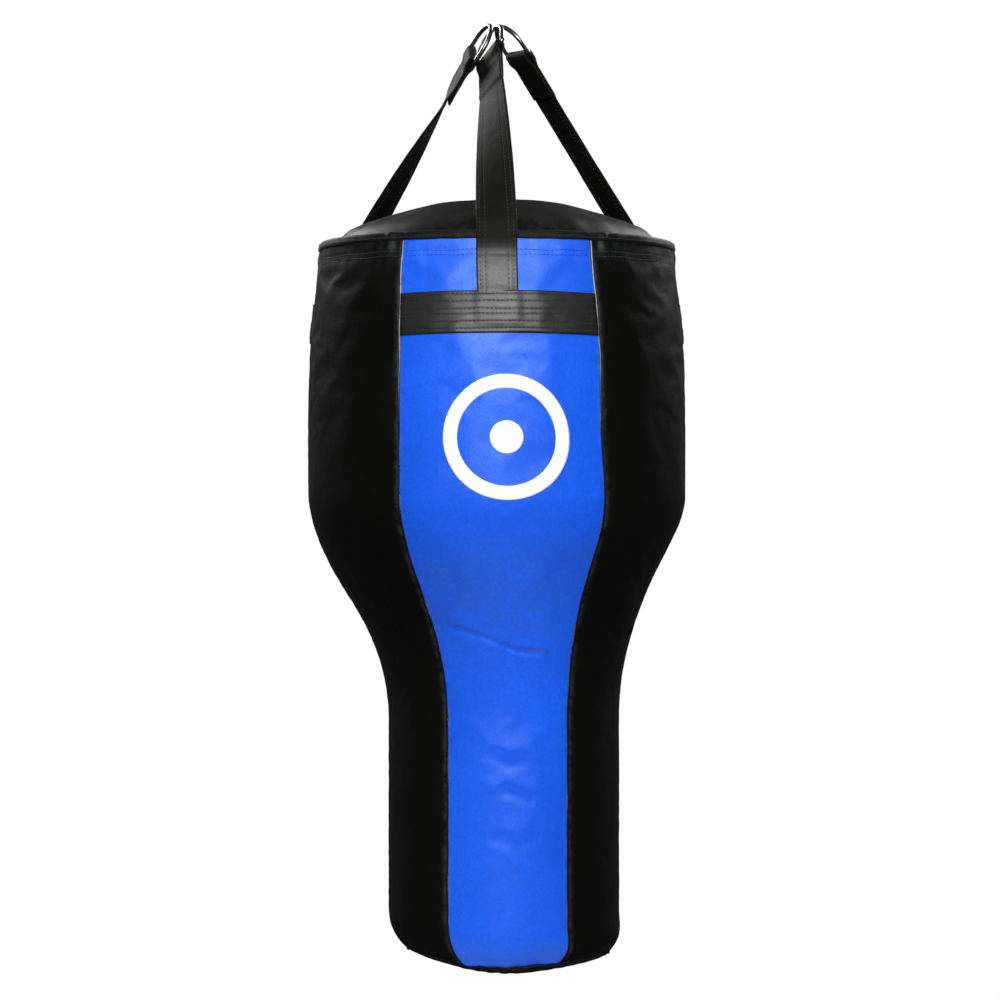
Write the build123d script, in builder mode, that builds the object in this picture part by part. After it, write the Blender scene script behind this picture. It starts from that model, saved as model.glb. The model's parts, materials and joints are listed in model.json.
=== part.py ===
"""A heavy punching bag that is wide above and narrow below, hung on three straps with D-rings.

The origin is the hang point, under the gathered ring crowns. Up is +Z and the front is -Y.
Lengths are in millimetres and angles in degrees. An azimuth is counted from the front towards +X.
"""

from build123d import *
import math
import os

# Outline of the bag, as radii and heights
rim_height = -272.0
drum_radius = 242.0
drum_arc_radius = 1740.0  # the wide wall leans in towards the rim along this arc
drum_arc_low = -500.0
taper_top = -585.0
taper_top_handle = -675.0
taper_low_handle = -740.0
taper_low = -880.0
leg_radius = 148.0
corner_radius = 50.0
base_height = -1188.0
base_seam_angle = 50.0  # how far round the base corner the panels reach

# Outer shell
gore_angle = 60.0
panel_thickness = 3.0
panel_top = rim_height - 2.0
piping_width = 2.8
piping_proud = 1.2
piping_top = rim_height - 11.3
welt_angle = 3.5
welt_proud = 1.5
blue_panels = {"blue_panel_front": 0.0, "blue_panel_right": 120.0, "blue_panel_left": -120.0}
black_panels = {"black_panel_right": 60.0, "black_panel_left": -60.0, "black_panel_back": 180.0}

# Rim
binding_low = rim_height - 11.0
binding_thickness = 1.6
binding_clearance = 0.4  # left under the straps where they pass over the binding
facing_top = rim_height - 11.5
facing_low = rim_height - 58.0
facing_thickness = 1.7
fit_gap = 0.1

# Domed top cover
cover_apex = -216.0
cover_thickness = 3.0
crown_radius = 470.0
shoulder_radius = 70.0
cover_radius = 226.5
cover_low = -330.0

# Zip in the cover, behind the apex, in a plane that leans back through the crown's centre
zip_lean = 9.0
slot_half_angle = 19.2
slot_half_width = 8.0
tape_half_angle = 19.8
tape_half_width = 16.0
tape_depth = 3.5
tape_thickness = 0.7
chain_half_angle = 18.6
chain_half_width = 3.0
chain_height = 3.0
stop_angle = 0.4
slider_angle = 17.6
slider_length = 9.0
slider_half_width = 5.0
pull_length = 28.0
pull_half_width = 3.6
pull_thickness = 1.4
pin_radius = 0.7
pin_clearance = 0.2

# Straps, belts and rings
strap_width = 50.0
strap_thickness = 3.5
strap_tail = -393.0
belt_top = -347.0
belt_low = -399.0
belt_thickness = 2.6
belt_half_angle = 29.4
bump_half_angle = 7.2
fold_radius = 233.0  # the straps fold over the rim about these points
fold_height = -268.0
fold_gap = 2.5
sewn_length = 65.0
twist_step = 10.0
wire_radius = 3.0
eye_clearance = 0.4
ring_half_width = 29.0
ring_corner = 4.0
ring_side = 16.0

# Each strap's azimuth, its twist on the way up, and the middle of its ring's straight bar
straps = {
    "front": (0.0, -58.0, Vector(-8.5, -15.1, -31.0)),
    "right": (120.0, -5.0, Vector(29.0, 24.8, -25.8)),
    "left": (-120.0, 45.0, Vector(-32.5, 5.2, -28.7)),
}

# Padding and filling
lining_gap = 0.3
foam_thickness = 20.0
foam_joints = (-332.0, -590.0, -870.0)
foam_joint_gap = 0.5
top_foam_inset = 5.3
top_foam_thickness = 14.0
base_foam_radius = 96.0
sack_thickness = 1.0
sack_mouth_radius = 30.0
fill_top = -286.0

# Printed target on the front panel
target_height = -524.0
target_ring_radius = 76.0
target_ring_width = 17.0
target_dot_radius = 20.0
print_thickness = 0.4
print_gap = 0.05

# Worked out from the above
corner_centre = (leg_radius - corner_radius, base_height + corner_radius)
crown_centre = cover_apex - crown_radius
shoulder_centre_radius = cover_radius - shoulder_radius
shoulder_centre_rise = math.sqrt((crown_radius - shoulder_radius) ** 2 - shoulder_centre_radius**2)
shoulder_centre = (shoulder_centre_radius, crown_centre + shoulder_centre_rise)
crown_angle = math.degrees(math.asin(shoulder_centre_radius / (crown_radius - shoulder_radius)))
strap_half_angle = math.degrees(strap_width / 2 / (fold_radius - strap_thickness))
lean = math.radians(zip_lean)
zip_plane = Plane(
    origin=(0, 0, crown_centre), x_dir=(1, 0, 0), z_dir=(0, -math.cos(lean), math.sin(lean))
)

os.makedirs("parts", exist_ok=True)


def write(part, name):
    """Label a finished piece and write it under its name."""
    part.label = name
    export_step(part, f"parts/{name}.step")


def radial_plane(azimuth):
    """A vertical plane through the bag's axis, with local x outward and local y up."""
    angle = math.radians(azimuth)
    outward = (math.sin(angle), -math.cos(angle), 0)
    return Plane(origin=(0, 0, 0), x_dir=outward, z_dir=(-math.cos(angle), -math.sin(angle), 0))


def wall_radius(height):
    """Radius of the wide wall at a height above its straight stretch."""
    rise = height - drum_arc_low
    return drum_radius - drum_arc_radius + math.sqrt(drum_arc_radius**2 - rise**2)


def drum_arc(inset, top, low):
    """The leaning part of the wide wall between two heights, moved inward."""
    heights = (top, (top + low) / 2, low)
    return ThreePointArc(*[(wall_radius(height) - inset, height) for height in heights])


def drum_band(outer, inner, top, low):
    """Closed outline of a layer on the leaning part of the wide wall."""
    outside = drum_arc(outer, top, low)
    inside = drum_arc(inner, top, low)
    Line(outside @ 0, inside @ 0)
    Line(outside @ 1, inside @ 1)


def wall_line(inset, top):
    """The bag's side from a height down to the base seam, moved inward. Returns its two ends."""
    wide = drum_radius - inset
    narrow = leg_radius - inset
    start = drum_arc(inset, top, drum_arc_low)
    Line((wide, drum_arc_low), (wide, taper_top))
    Bezier((wide, taper_top), (wide, taper_top_handle), (narrow, taper_low_handle), (narrow, taper_low))
    Line((narrow, taper_low), (narrow, corner_centre[1]))
    corner = CenterArc(corner_centre, corner_radius - inset, 0, -base_seam_angle)
    return start @ 0, corner @ 1


def wall_band(outer, inner, top):
    """Closed outline of a layer of the bag's side."""
    outer_top, outer_low = wall_line(outer, top)
    inner_top, inner_low = wall_line(inner, top)
    Line(outer_top, inner_top)
    Line(outer_low, inner_low)


def corner_band(outer, inner, start, sweep_angle):
    """Closed outline of a layer of the base corner, over part of its turn."""
    outside = CenterArc(corner_centre, corner_radius - outer, -start, -sweep_angle)
    inside = CenterArc(corner_centre, corner_radius - inner, -start, -sweep_angle)
    Line(outside @ 0, inside @ 0)
    Line(outside @ 1, inside @ 1)


def cover_line(inset):
    """The top cover from its apex down to its lower edge, moved inward. Returns its two ends."""
    crown = CenterArc((0, crown_centre), crown_radius - inset, 90, -crown_angle)
    shoulder = CenterArc(shoulder_centre, shoulder_radius - inset, 90 - crown_angle, crown_angle - 90)
    skirt = Line(shoulder @ 1, (cover_radius - inset, cover_low))
    return crown @ 0, skirt @ 1


def filling_line(inset, inner_radius):
    """The filling's outline from its crown at a radius, down the side to the bag's axis."""
    edge_radius = wall_radius(fill_top) - inset
    crown = math.hypot(edge_radius, fill_top - crown_centre)
    start_angle = math.degrees(math.acos(inner_radius / crown))
    edge_angle = math.degrees(math.acos(edge_radius / crown))
    top = CenterArc((0, crown_centre), crown, start_angle, edge_angle - start_angle)
    wall_line(inset, fill_top)
    turn = CenterArc(corner_centre, corner_radius - inset, -base_seam_angle, base_seam_angle - 90)
    floor = Line(turn @ 1, (0, base_height + inset))
    return top @ 0, floor @ 1


def zip_sector(low, high, start, end):
    """Closed outline in the zip's plane between two radii and two angles from its middle."""
    outside = CenterArc((0, 0), high, 90 - start, start - end)
    inside = CenterArc((0, 0), low, 90 - start, start - end)
    Line(outside @ 0, inside @ 0)
    Line(outside @ 1, inside @ 1)


# Side panels: six equal gores, blue and black in turn, with a seam's width left out for the piping
for name, azimuth in (blue_panels | black_panels).items():
    with BuildPart() as panel:
        with BuildSketch(radial_plane(azimuth - gore_angle / 2)):
            with BuildLine():
                wall_band(0, panel_thickness, panel_top)
            make_face()
        revolve(axis=Axis.Z, revolution_arc=gore_angle)
        for side in (-1, 1):
            with BuildSketch(radial_plane(azimuth + side * gore_angle / 2)):
                with Locations((drum_radius / 2, base_height / 2)):
                    Rectangle(2 * drum_radius, -2 * base_height)
            extrude(amount=piping_width / 2, both=True, mode=Mode.SUBTRACT)
    write(panel.part, name)

# Piping: one strip standing slightly proud in each seam between two panels
for number in range(6):
    with BuildPart() as piping:
        with BuildSketch(radial_plane((number + 0.5) * gore_angle)):
            with BuildLine():
                wall_band(-piping_proud, panel_thickness, piping_top)
            make_face()
        extrude(amount=piping_width / 2, both=True)
    write(piping.part, f"seam_piping_{number + 1}")

# Base welt: a bead in the seam between the panels and the base
with BuildPart() as base_welt:
    with BuildSketch(Plane.XZ):
        with BuildLine():
            corner_band(-welt_proud, panel_thickness, base_seam_angle, welt_angle)
        make_face()
    revolve(axis=Axis.Z)
write(base_welt.part, "base_welt")

# Base panel: a round dish that turns up to the welt
with BuildPart() as base_panel:
    with BuildSketch(Plane.XZ):
        with BuildLine():
            turned = 90 - base_seam_angle - welt_angle
            corner_band(0, panel_thickness, base_seam_angle + welt_angle, turned)
        make_face()
        with Locations((corner_centre[0] / 2, base_height + panel_thickness / 2)):
            Rectangle(corner_centre[0], panel_thickness)
    revolve(axis=Axis.Z)
write(base_panel.part, "base_panel")

# Rim binding: a strip folded over the top edge of the panels
with BuildPart() as rim_binding:
    with BuildSketch(Plane.XZ) as binding_section:
        low_radius = wall_radius(binding_low)
        top_radius = wall_radius(panel_top)
        reach = fit_gap + binding_thickness
        inner_shift = panel_thickness + reach
        with BuildLine():
            Polyline(
                (low_radius + reach, binding_low),
                (top_radius + reach, panel_top + reach),
                (top_radius - inner_shift, panel_top + reach),
                (low_radius - inner_shift, binding_low),
                (low_radius - panel_thickness - fit_gap, binding_low),
                (top_radius - panel_thickness - fit_gap, panel_top + fit_gap),
                (top_radius + fit_gap, panel_top + fit_gap),
                (low_radius + fit_gap, binding_low),
                close=True,
            )
        make_face()
        fillet(binding_section.vertices().group_by(Axis.Y)[-1], radius=0.9 * binding_thickness)
    revolve(axis=Axis.Z)
write(rim_binding.part, "rim_binding")

# Hem facing: a strip that lines the inside of the rim
with BuildPart() as hem_facing:
    with BuildSketch(Plane.XZ):
        with BuildLine():
            facing_inset = panel_thickness + fit_gap
            drum_band(facing_inset, facing_inset + facing_thickness, facing_top, facing_low)
        make_face()
    revolve(axis=Axis.Z)
write(hem_facing.part, "hem_facing")

# Top cover: a dome in two pieces that meet at the zip, with a slot over the zip's length
for name, side in {"top_cover_front": Keep.TOP, "top_cover_back": Keep.BOTTOM}.items():
    with BuildPart() as cover:
        with BuildSketch(Plane.XZ):
            with BuildLine():
                outer_apex, outer_edge = cover_line(0)
                inner_apex, inner_edge = cover_line(cover_thickness)
                Line(outer_apex, inner_apex)
                Line(outer_edge, inner_edge)
            make_face()
        revolve(axis=Axis.Z)
        with BuildSketch(zip_plane):
            with BuildLine():
                below = crown_radius - 2 * cover_thickness
                above = crown_radius + cover_thickness
                zip_sector(below, above, -slot_half_angle, slot_half_angle)
            make_face()
        extrude(amount=slot_half_width, both=True, mode=Mode.SUBTRACT)
        split(bisect_by=zip_plane, keep=side)
    write(cover.part, name)

# Zip tapes: two strips under the edges of the slot
tape_top = crown_radius - tape_depth
for name, side in {"zip_tape_front": 1, "zip_tape_back": -1}.items():
    with BuildPart() as tape:
        with BuildSketch(zip_plane.offset(side * fit_gap)):
            with BuildLine():
                zip_sector(tape_top - tape_thickness, tape_top, -tape_half_angle, tape_half_angle)
            make_face()
        extrude(amount=side * (tape_half_width - fit_gap))
    write(tape.part, name)

# Zip chain: the closed row of teeth on the tapes
chain_low = tape_top + fit_gap
chain_top = chain_low + chain_height
with BuildPart() as zip_chain:
    with BuildSketch(zip_plane):
        with BuildLine():
            zip_sector(chain_low, chain_top, -chain_half_angle, chain_half_angle)
        make_face()
    extrude(amount=chain_half_width, both=True)
write(zip_chain.part, "zip_chain")

# Zip stops: a small block at each end of the chain
with BuildPart() as zip_stops:
    for end in (-1, 1):
        with BuildSketch(zip_plane):
            with BuildLine():
                near = end * (chain_half_angle + 0.05)
                far = end * (chain_half_angle + stop_angle)
                zip_sector(chain_low, chain_top + 1, near, far)
            make_face()
        extrude(amount=chain_half_width + 0.6, both=True)
write(zip_stops.part, "zip_stops")

# Frame at the parked slider: local y points away from the cover, local z across the zip
slide = math.radians(slider_angle)
slider_middle = zip_plane.from_local_coords(Vector(-math.sin(slide), math.cos(slide), 0) * chain_top)
slider_along = (
    zip_plane.from_local_coords((math.cos(slide), math.sin(slide), 0)) - zip_plane.origin
)
slider_plane = Plane(origin=slider_middle, x_dir=slider_along, z_dir=zip_plane.z_dir)
slider_gap = 0.3
plate_top = slider_gap + 2.5
pivot_height = plate_top + 2.3

# Zip slider: a plate over the chain, two flanges beside it and an upright with the pull's hole
with BuildPart() as zip_slider:
    with BuildSketch(slider_plane):
        with Locations((0, (slider_gap + plate_top) / 2)):
            Rectangle(slider_length, plate_top - slider_gap)
    extrude(amount=slider_half_width, both=True)
    flange_inner = chain_half_width + slider_gap
    for side in (-1, 1):
        with BuildSketch(slider_plane.offset(side * flange_inner)):
            with Locations((0, (slider_gap - chain_height) / 2 + slider_gap / 2)):
                Rectangle(slider_length, chain_height)
        extrude(amount=side * (slider_half_width - flange_inner))
    with BuildSketch(slider_plane):
        with Locations((0, plate_top + 1.8)):
            Rectangle(6, 4)
        with Locations((0, pivot_height)):
            Circle(pin_radius + pin_clearance, mode=Mode.SUBTRACT)
    extrude(amount=1, both=True)
write(zip_slider.part, "zip_slider")

# Zip pull: a slim tab with two arms beside the upright and a pin through its hole
with BuildPart() as zip_pull:
    with BuildSketch(slider_plane):
        with Locations((4.4 + pull_length / 2, pivot_height)):
            Rectangle(pull_length, pull_thickness)
    extrude(amount=pull_half_width, both=True)
    for side in (-1, 1):
        with BuildSketch(slider_plane.offset(side * 1.4)):
            with Locations((2.5, pivot_height)):
                Rectangle(5, pull_thickness)
            with Locations((0, pivot_height)):
                Circle(pull_thickness)
        extrude(amount=side * (pull_half_width - 1.4))
    with BuildSketch(slider_plane):
        with Locations((0, pivot_height)):
            Circle(pin_radius)
    extrude(amount=2, both=True)
write(zip_pull.part, "zip_pull")

# Straps, belts and rings
for side, (azimuth, twist, bar_middle) in straps.items():
    # Sewn part of the strap, flat on its blue panel, thinner where it passes over the binding
    with BuildPart() as strap_sewn:
        with BuildSketch(radial_plane(azimuth - strap_half_angle)):
            with BuildLine():
                drum_band(-strap_thickness, 0, rim_height, strap_tail)
            make_face()
        revolve(axis=Axis.Z, revolution_arc=2 * strap_half_angle)
        with BuildSketch(radial_plane(azimuth - gore_angle / 2)):
            with BuildLine():
                drum_band(-reach - binding_clearance, fit_gap, rim_height + 1, binding_low - fit_gap)
            make_face()
        revolve(axis=Axis.Z, revolution_arc=gore_angle, mode=Mode.SUBTRACT)
    write(strap_sewn.part, f"strap_sewn_{side}")

    # Belt across the blue panel, raised where it passes over the strap's tail
    with BuildPart() as belt:
        with BuildSketch(radial_plane(azimuth - belt_half_angle)):
            with BuildLine():
                drum_band(-belt_thickness, 0, belt_top, belt_low)
            make_face()
        revolve(axis=Axis.Z, revolution_arc=2 * belt_half_angle)
        with BuildSketch(radial_plane(azimuth - bump_half_angle)):
            with BuildLine():
                drum_band(-strap_thickness - belt_thickness, 0, belt_top, belt_low)
            make_face()
        revolve(axis=Axis.Z, revolution_arc=2 * bump_half_angle)
        with BuildSketch(radial_plane(azimuth - strap_half_angle)):
            with BuildLine():
                drum_band(-strap_thickness, fit_gap, belt_top + 1, strap_tail)
            make_face()
        revolve(axis=Axis.Z, revolution_arc=2 * strap_half_angle, mode=Mode.SUBTRACT)
    write(belt.part, f"belt_{side}")

    # The strap runs straight from its fold at the rim to the ring's bar, turning about its own line
    angle = math.radians(azimuth)
    fold = Vector(fold_radius * math.sin(angle), -fold_radius * math.cos(angle), fold_height)
    along = (bar_middle - fold).normalized()
    tangent = Vector(math.cos(angle), math.sin(angle), 0)
    across = (tangent - along * tangent.dot(along)).normalized()
    free_length = (bar_middle - fold).length
    bar_line = across.rotate(Axis((0, 0, 0), along), twist)

    # Free part of the strap: a twisted band, a doubled end and the eye round the bar
    twisted_length = free_length - sewn_length - fold_gap
    steps = max(2, math.ceil(abs(twist) / twist_step))
    with BuildPart() as strap_free:
        for step in range(steps + 1):
            share = step / steps
            turned_across = across.rotate(Axis((0, 0, 0), along), twist * share)
            start = fold + along * (fold_gap + twisted_length * share)
            with BuildSketch(Plane(origin=start, x_dir=turned_across, z_dir=along)):
                Rectangle(strap_width, strap_thickness)
        loft()
        with BuildSketch(Plane(origin=bar_middle - along * sewn_length, x_dir=bar_line, z_dir=along)):
            Rectangle(strap_width, 2 * strap_thickness)
        extrude(amount=sewn_length - wire_radius - 2 * eye_clearance - 1)
        eye_radius = wire_radius + eye_clearance
        with BuildSketch(Plane(origin=bar_middle, x_dir=along, z_dir=bar_line)):
            Circle(eye_radius + strap_thickness)
        extrude(amount=strap_width / 2, both=True)
        with BuildSketch(Plane(origin=bar_middle, x_dir=along, z_dir=bar_line)):
            Circle(eye_radius)
        extrude(amount=strap_width / 2, both=True, mode=Mode.SUBTRACT)
    write(strap_free.part, f"strap_{side}")

    # D-ring: round wire, a straight bar through the strap's eye and a half-round crown
    ring_plane = Plane(origin=bar_middle, x_dir=bar_line, z_dir=bar_line.cross(along))
    with BuildPart() as ring:
        with BuildLine(ring_plane) as half_wire:
            bar = Line((0, 0), (ring_half_width - ring_corner, 0))
            bend = TangentArc(bar @ 1, (ring_half_width, ring_corner), tangent=bar % 1)
            upright = Line(bend @ 1, (ring_half_width, ring_side))
            TangentArc(upright @ 1, (0, ring_side + ring_half_width), tangent=upright % 1)
        with BuildSketch(Plane(origin=bar_middle, x_dir=along, z_dir=bar_line)):
            Circle(wire_radius)
        sweep(path=half_wire.wires()[0])
        mirror(about=Plane(origin=bar_middle, x_dir=along, z_dir=bar_line))
    write(ring.part, f"d_ring_{side}")

# Foam lining: three sheets rolled inside the wide top, the taper and the narrow bottom
foam_inset = panel_thickness + lining_gap
foam_ends = foam_joints + (base_height,)
foam_names = ("foam_wide", "foam_taper", "foam_narrow")
for name, top, low in zip(foam_names, foam_ends[:-1], foam_ends[1:]):
    with BuildPart() as foam:
        with BuildSketch(Plane.XZ):
            with BuildLine():
                wall_band(foam_inset, foam_inset + foam_thickness, foam_joints[0])
            make_face()
        revolve(axis=Axis.Z)
        split(bisect_by=Plane.XY.offset(top - foam_joint_gap), keep=Keep.BOTTOM)
        split(bisect_by=Plane.XY.offset(low), keep=Keep.TOP)
    write(foam.part, name)

# Top foam: a round pad under the crown of the cover
with BuildPart() as top_foam:
    with BuildSketch(Plane.XZ):
        with BuildLine():
            pad_top = crown_radius - top_foam_inset
            outside = CenterArc((0, crown_centre), pad_top, 90, -crown_angle)
            inside = CenterArc((0, crown_centre), pad_top - top_foam_thickness, 90, -crown_angle)
            Line(outside @ 0, inside @ 0)
            Line(outside @ 1, inside @ 1)
        make_face()
    revolve(axis=Axis.Z)
write(top_foam.part, "foam_top")

# Base foam: a round pad on the base panel
with BuildPart() as base_foam:
    with BuildSketch(Plane.XY.offset(base_height + foam_inset)):
        Circle(base_foam_radius)
    extrude(amount=foam_thickness)
write(base_foam.part, "foam_base")

# Inner sack: a thin bag round the filling, open at its tied mouth
sack_inset = foam_inset + foam_thickness + lining_gap
with BuildPart() as inner_sack:
    with BuildSketch(Plane.XZ):
        with BuildLine():
            outer_mouth, outer_floor = filling_line(sack_inset, sack_mouth_radius)
            inner_mouth, inner_floor = filling_line(sack_inset + sack_thickness, sack_mouth_radius)
            Line(outer_mouth, inner_mouth)
            Line(outer_floor, inner_floor)
        make_face()
    revolve(axis=Axis.Z)
write(inner_sack.part, "inner_sack")

# Filling: shredded textile packed into the sack
with BuildPart() as filling:
    with BuildSketch(Plane.XZ):
        with BuildLine():
            top_middle, floor_middle = filling_line(sack_inset + sack_thickness + fit_gap, 0)
            Line(top_middle, floor_middle)
        make_face()
    revolve(axis=Axis.Z)
write(filling.part, "textile_filling")

# Target: a plain printed ring and dot, curved with the front panel
with BuildPart() as target:
    with BuildSketch(radial_plane(-gore_angle / 2)):
        with BuildLine():
            wall_band(-print_gap - print_thickness, -print_gap, panel_top)
        make_face()
    revolve(axis=Axis.Z, revolution_arc=gore_angle)
    with BuildSketch(Plane.XZ):
        with Locations((0, target_height)):
            Circle(target_ring_radius)
            Circle(target_ring_radius - target_ring_width, mode=Mode.SUBTRACT)
            Circle(target_dot_radius)
    extrude(amount=2 * drum_radius, mode=Mode.INTERSECT)
write(target.part, "target_print")
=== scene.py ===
"""The looks of a heavy punching bag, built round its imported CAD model.

Lengths are in metres. The origin is the hang point, up is +Z and the front is -Y. An azimuth is an
angle in radians from the front towards +X. The wall of the bag is handled as a sheet with two
coordinates: the azimuth, and the distance down the wall from its top edge.
"""

import json
import math

import bpy
import numpy as np
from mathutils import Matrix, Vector, noise


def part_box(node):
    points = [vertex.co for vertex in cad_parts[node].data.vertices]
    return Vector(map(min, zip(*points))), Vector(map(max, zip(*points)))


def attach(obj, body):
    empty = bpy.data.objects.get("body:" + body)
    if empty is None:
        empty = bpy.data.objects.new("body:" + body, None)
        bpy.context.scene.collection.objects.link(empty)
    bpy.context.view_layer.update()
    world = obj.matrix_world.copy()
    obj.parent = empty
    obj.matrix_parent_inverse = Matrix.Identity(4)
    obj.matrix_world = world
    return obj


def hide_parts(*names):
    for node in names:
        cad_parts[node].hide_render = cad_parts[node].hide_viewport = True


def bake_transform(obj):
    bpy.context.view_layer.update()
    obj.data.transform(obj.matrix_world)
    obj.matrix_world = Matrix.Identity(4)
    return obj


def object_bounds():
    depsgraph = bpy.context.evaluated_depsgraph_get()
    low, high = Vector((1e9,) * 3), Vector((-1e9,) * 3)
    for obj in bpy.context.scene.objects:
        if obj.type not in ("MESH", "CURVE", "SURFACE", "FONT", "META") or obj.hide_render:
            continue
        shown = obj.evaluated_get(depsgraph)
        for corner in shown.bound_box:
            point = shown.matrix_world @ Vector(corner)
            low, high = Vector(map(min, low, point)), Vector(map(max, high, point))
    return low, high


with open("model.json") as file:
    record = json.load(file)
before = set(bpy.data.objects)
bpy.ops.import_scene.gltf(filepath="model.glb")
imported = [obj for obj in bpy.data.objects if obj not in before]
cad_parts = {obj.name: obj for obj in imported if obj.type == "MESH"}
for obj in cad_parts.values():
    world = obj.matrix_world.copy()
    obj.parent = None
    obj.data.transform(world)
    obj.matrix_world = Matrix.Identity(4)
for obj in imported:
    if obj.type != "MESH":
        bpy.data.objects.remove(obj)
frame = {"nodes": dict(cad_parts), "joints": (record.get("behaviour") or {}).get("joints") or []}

cad_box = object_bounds()
scene = bpy.context.scene

# Shell
gore_angle = math.radians(60)
blue_half = math.radians(30.75)  # half a blue gore, which is cut a little wider than a black one
wall_thickness = 0.0026
seam_gap = 0.0011
piping_half_width, piping_half_height = 0.0012, 0.0013
welt_radius = 0.0021
panel_rows_per_metre, panel_columns = 400, 96
cloth_rows_per_metre, cloth_columns = 240, 48
relief_rows_per_metre, relief_columns = 480, 96
cloth_frames = 20
cloth_settings = {
    "quality": 4, "mass": 0.4, "tension_stiffness": 25, "compression_stiffness": 25,
    "shear_stiffness": 8, "bending_stiffness": 1.5, "tension_damping": 15, "compression_damping": 15,
}

# Unevenness of the hung bag. Lengths are in metres, and sags and leans are shares of a radius
leg_shift = 0.0090
foot_shift = 0.0060
drum_turn = math.radians(1.0)
leg_turn = math.radians(2.0)
taper_skew = 0.0090
seam_bow = 0.034
rim_pull = 0.0065
foot_lean = 0.022
foot_gather = 0.055
panel_sag = 0.033
scallops = 36
scallop_depth = 0.014
drum_calm, leg_calm = 0.45, 0.72  # share of the wall's lumps taken out where it is packed tight

# Heights between which each of these sets in, going down
turn_zone, shift_zone, calm_zone = (-0.62, -0.82), (-0.62, -0.88), (-0.70, -0.82)
lean_zone, sag_zone, foot_zone = (-0.98, -1.17), (-1.12, -1.18), (-1.12, -1.19)
gather_zone, scallop_zone = (-1.158, -1.187), (-1.168, -1.186)

# Rim
hem_stitch_depths = (0.0225, 0.0285)
binding_stitch_drop = 0.0035

# Straps and belts
strap_width = 0.050
strap_thickness = 0.0033
strap_stitches = (-0.0205, -0.0140, 0.0140, 0.0205)
sewn_length = 0.065
bar_radius = 0.003
eye_clearance = 0.0005
belt_thickness = 0.0024
strap_lift = 0.3 * strap_thickness  # how far the strap's tail raises the belt over it
belt_stitch_drops = (0.004, 0.013, 0.0225, 0.0290, 0.038, 0.0465)
belt_half_angle = math.radians(30.3)
strap_turns = {"front": 0.0, "right": math.radians(4.0), "left": math.radians(-4.6)}
strap_draws = {"front": 0.003, "right": 0.009, "left": 0.012}
strap_twists = {"front": -58.0, "right": -5.0, "left": 45.0}
wall_steps = 60
twist_growth = {"front": 1.0, "right": 1.0, "left": 2.0}
twist_reach = {"front": 0.84, "right": 0.5, "left": 0.86}

# Stitches
stitch_length = 0.0042
stitch_gap = 0.0012
thread_radius = 0.0004
stitch_dip = 0.00045  # how far a row of stitches pulls a strap's face in

# Target print
ring_width = 0.017
dot_radius = 0.020
print_proud = 0.0005
print_shift = 0.007

# Creases where the filling has settled: points of azimuth and height, then depth and width
creases = [
    ([(-0.40, -0.757), (-0.17, -0.768), (0.0, -0.781), (0.10, -0.787), (0.24, -0.789)], 0.0022, 0.0036),
    ([(0.0, -0.781), (0.01, -0.800)], 0.0014, 0.0035),
    ([(-0.12, -0.918), (0.0, -0.928), (0.10, -0.924)], 0.0012, 0.0080),
    ([(-0.02, -0.962), (0.16, -0.972)], 0.0012, 0.0070),
    ([(-0.10, -1.020), (0.08, -1.028), (0.18, -1.020)], 0.0010, 0.0080),
    ([(0.78, -0.752), (1.05, -0.776), (1.25, -0.771)], 0.0020, 0.0055),
    ([(-1.30, -0.770), (-1.02, -0.786), (-0.80, -0.775)], 0.0020, 0.0055),
    ([(1.90, -0.761), (2.10, -0.774), (2.36, -0.766)], 0.0020, 0.0050),
    ([(-2.40, -0.768), (-2.15, -0.783), (-1.92, -0.772)], 0.0020, 0.0050),
    ([(2.85, -0.765), (3.10, -0.782), (3.35, -0.771)], 0.0020, 0.0055),
    ([(-2.2, -0.925), (-2.0, -0.934)], 0.0012, 0.0080),
    ([(1.95, -1.005), (2.2, -0.996)], 0.0012, 0.0080),
    ([(3.0, -0.95), (3.25, -0.962)], 0.0012, 0.0080),
]

# Camera, lights and floor
camera_place = (0.0039, -3.855, -0.600)
camera_lens = 108.0
gloom = (0.035, 0.036, 0.038, 1)  # the room as the bag sees it, while the camera sees white behind it
softboxes = {  # place, target, width, height, power, and whether the light shows as a shine
    "glow": ((0.0, -3.3, 0.68), (0, -0.24, -0.32), 2.3, 1.15, 76, True),
    "fill": ((0.0, -4.3, -0.6), (0, 0, -0.6), 1.6, 1.6, 34, False),
    "left": ((-2.3, -2.6, 1.7), (0, 0, -0.65), 1.4, 1.4, 34, False),
    "right": ((2.3, -2.6, 1.7), (0, 0, -0.65), 1.4, 1.4, 34, False),
    "top": ((0.0, -2.4, 2.6), (0, 0, -0.7), 1.8, 1.2, 36, False),
    "back_left": ((-2.4, 2.6, 1.7), (0, 0, -0.6), 1.4, 1.4, 105, True),
    "back_right": ((2.4, 2.6, 1.7), (0, 0, -0.6), 1.4, 1.4, 105, True),
}
floor_radius, floor_drop = 1.3, 0.32

sides = {"front": 0.0, "right": 2 * gore_angle, "left": -2 * gore_angle}
joints = {joint["name"]: joint for joint in frame["joints"]}


# ------ the frame's outlines


def outer_outline(node, centre_height=None, least=0.35):
    """Radii and heights of a round CAD node's outer face, from the top down.

    A face is outer if it looks away from the axis, or from a point on it at centre_height.
    """
    mesh = frame["nodes"][node].data
    found = {}
    for face in mesh.polygons:
        away = face.center.copy()
        away.z = 0 if centre_height is None else away.z - centre_height
        if face.normal.dot(away.normalized()) > least:
            for index in face.vertices:
                place = mesh.vertices[index].co
                found[round(place.z, 5), round(math.hypot(place.x, place.y), 5)] = place.z
    pairs = np.array(sorted(found))
    if centre_height is None:
        order = np.argsort(-pairs[:, 0])
    else:
        order = np.argsort(np.arctan2(pairs[:, 1], pairs[:, 0] - centre_height))
    return pairs[order, 1], pairs[order, 0]


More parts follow.
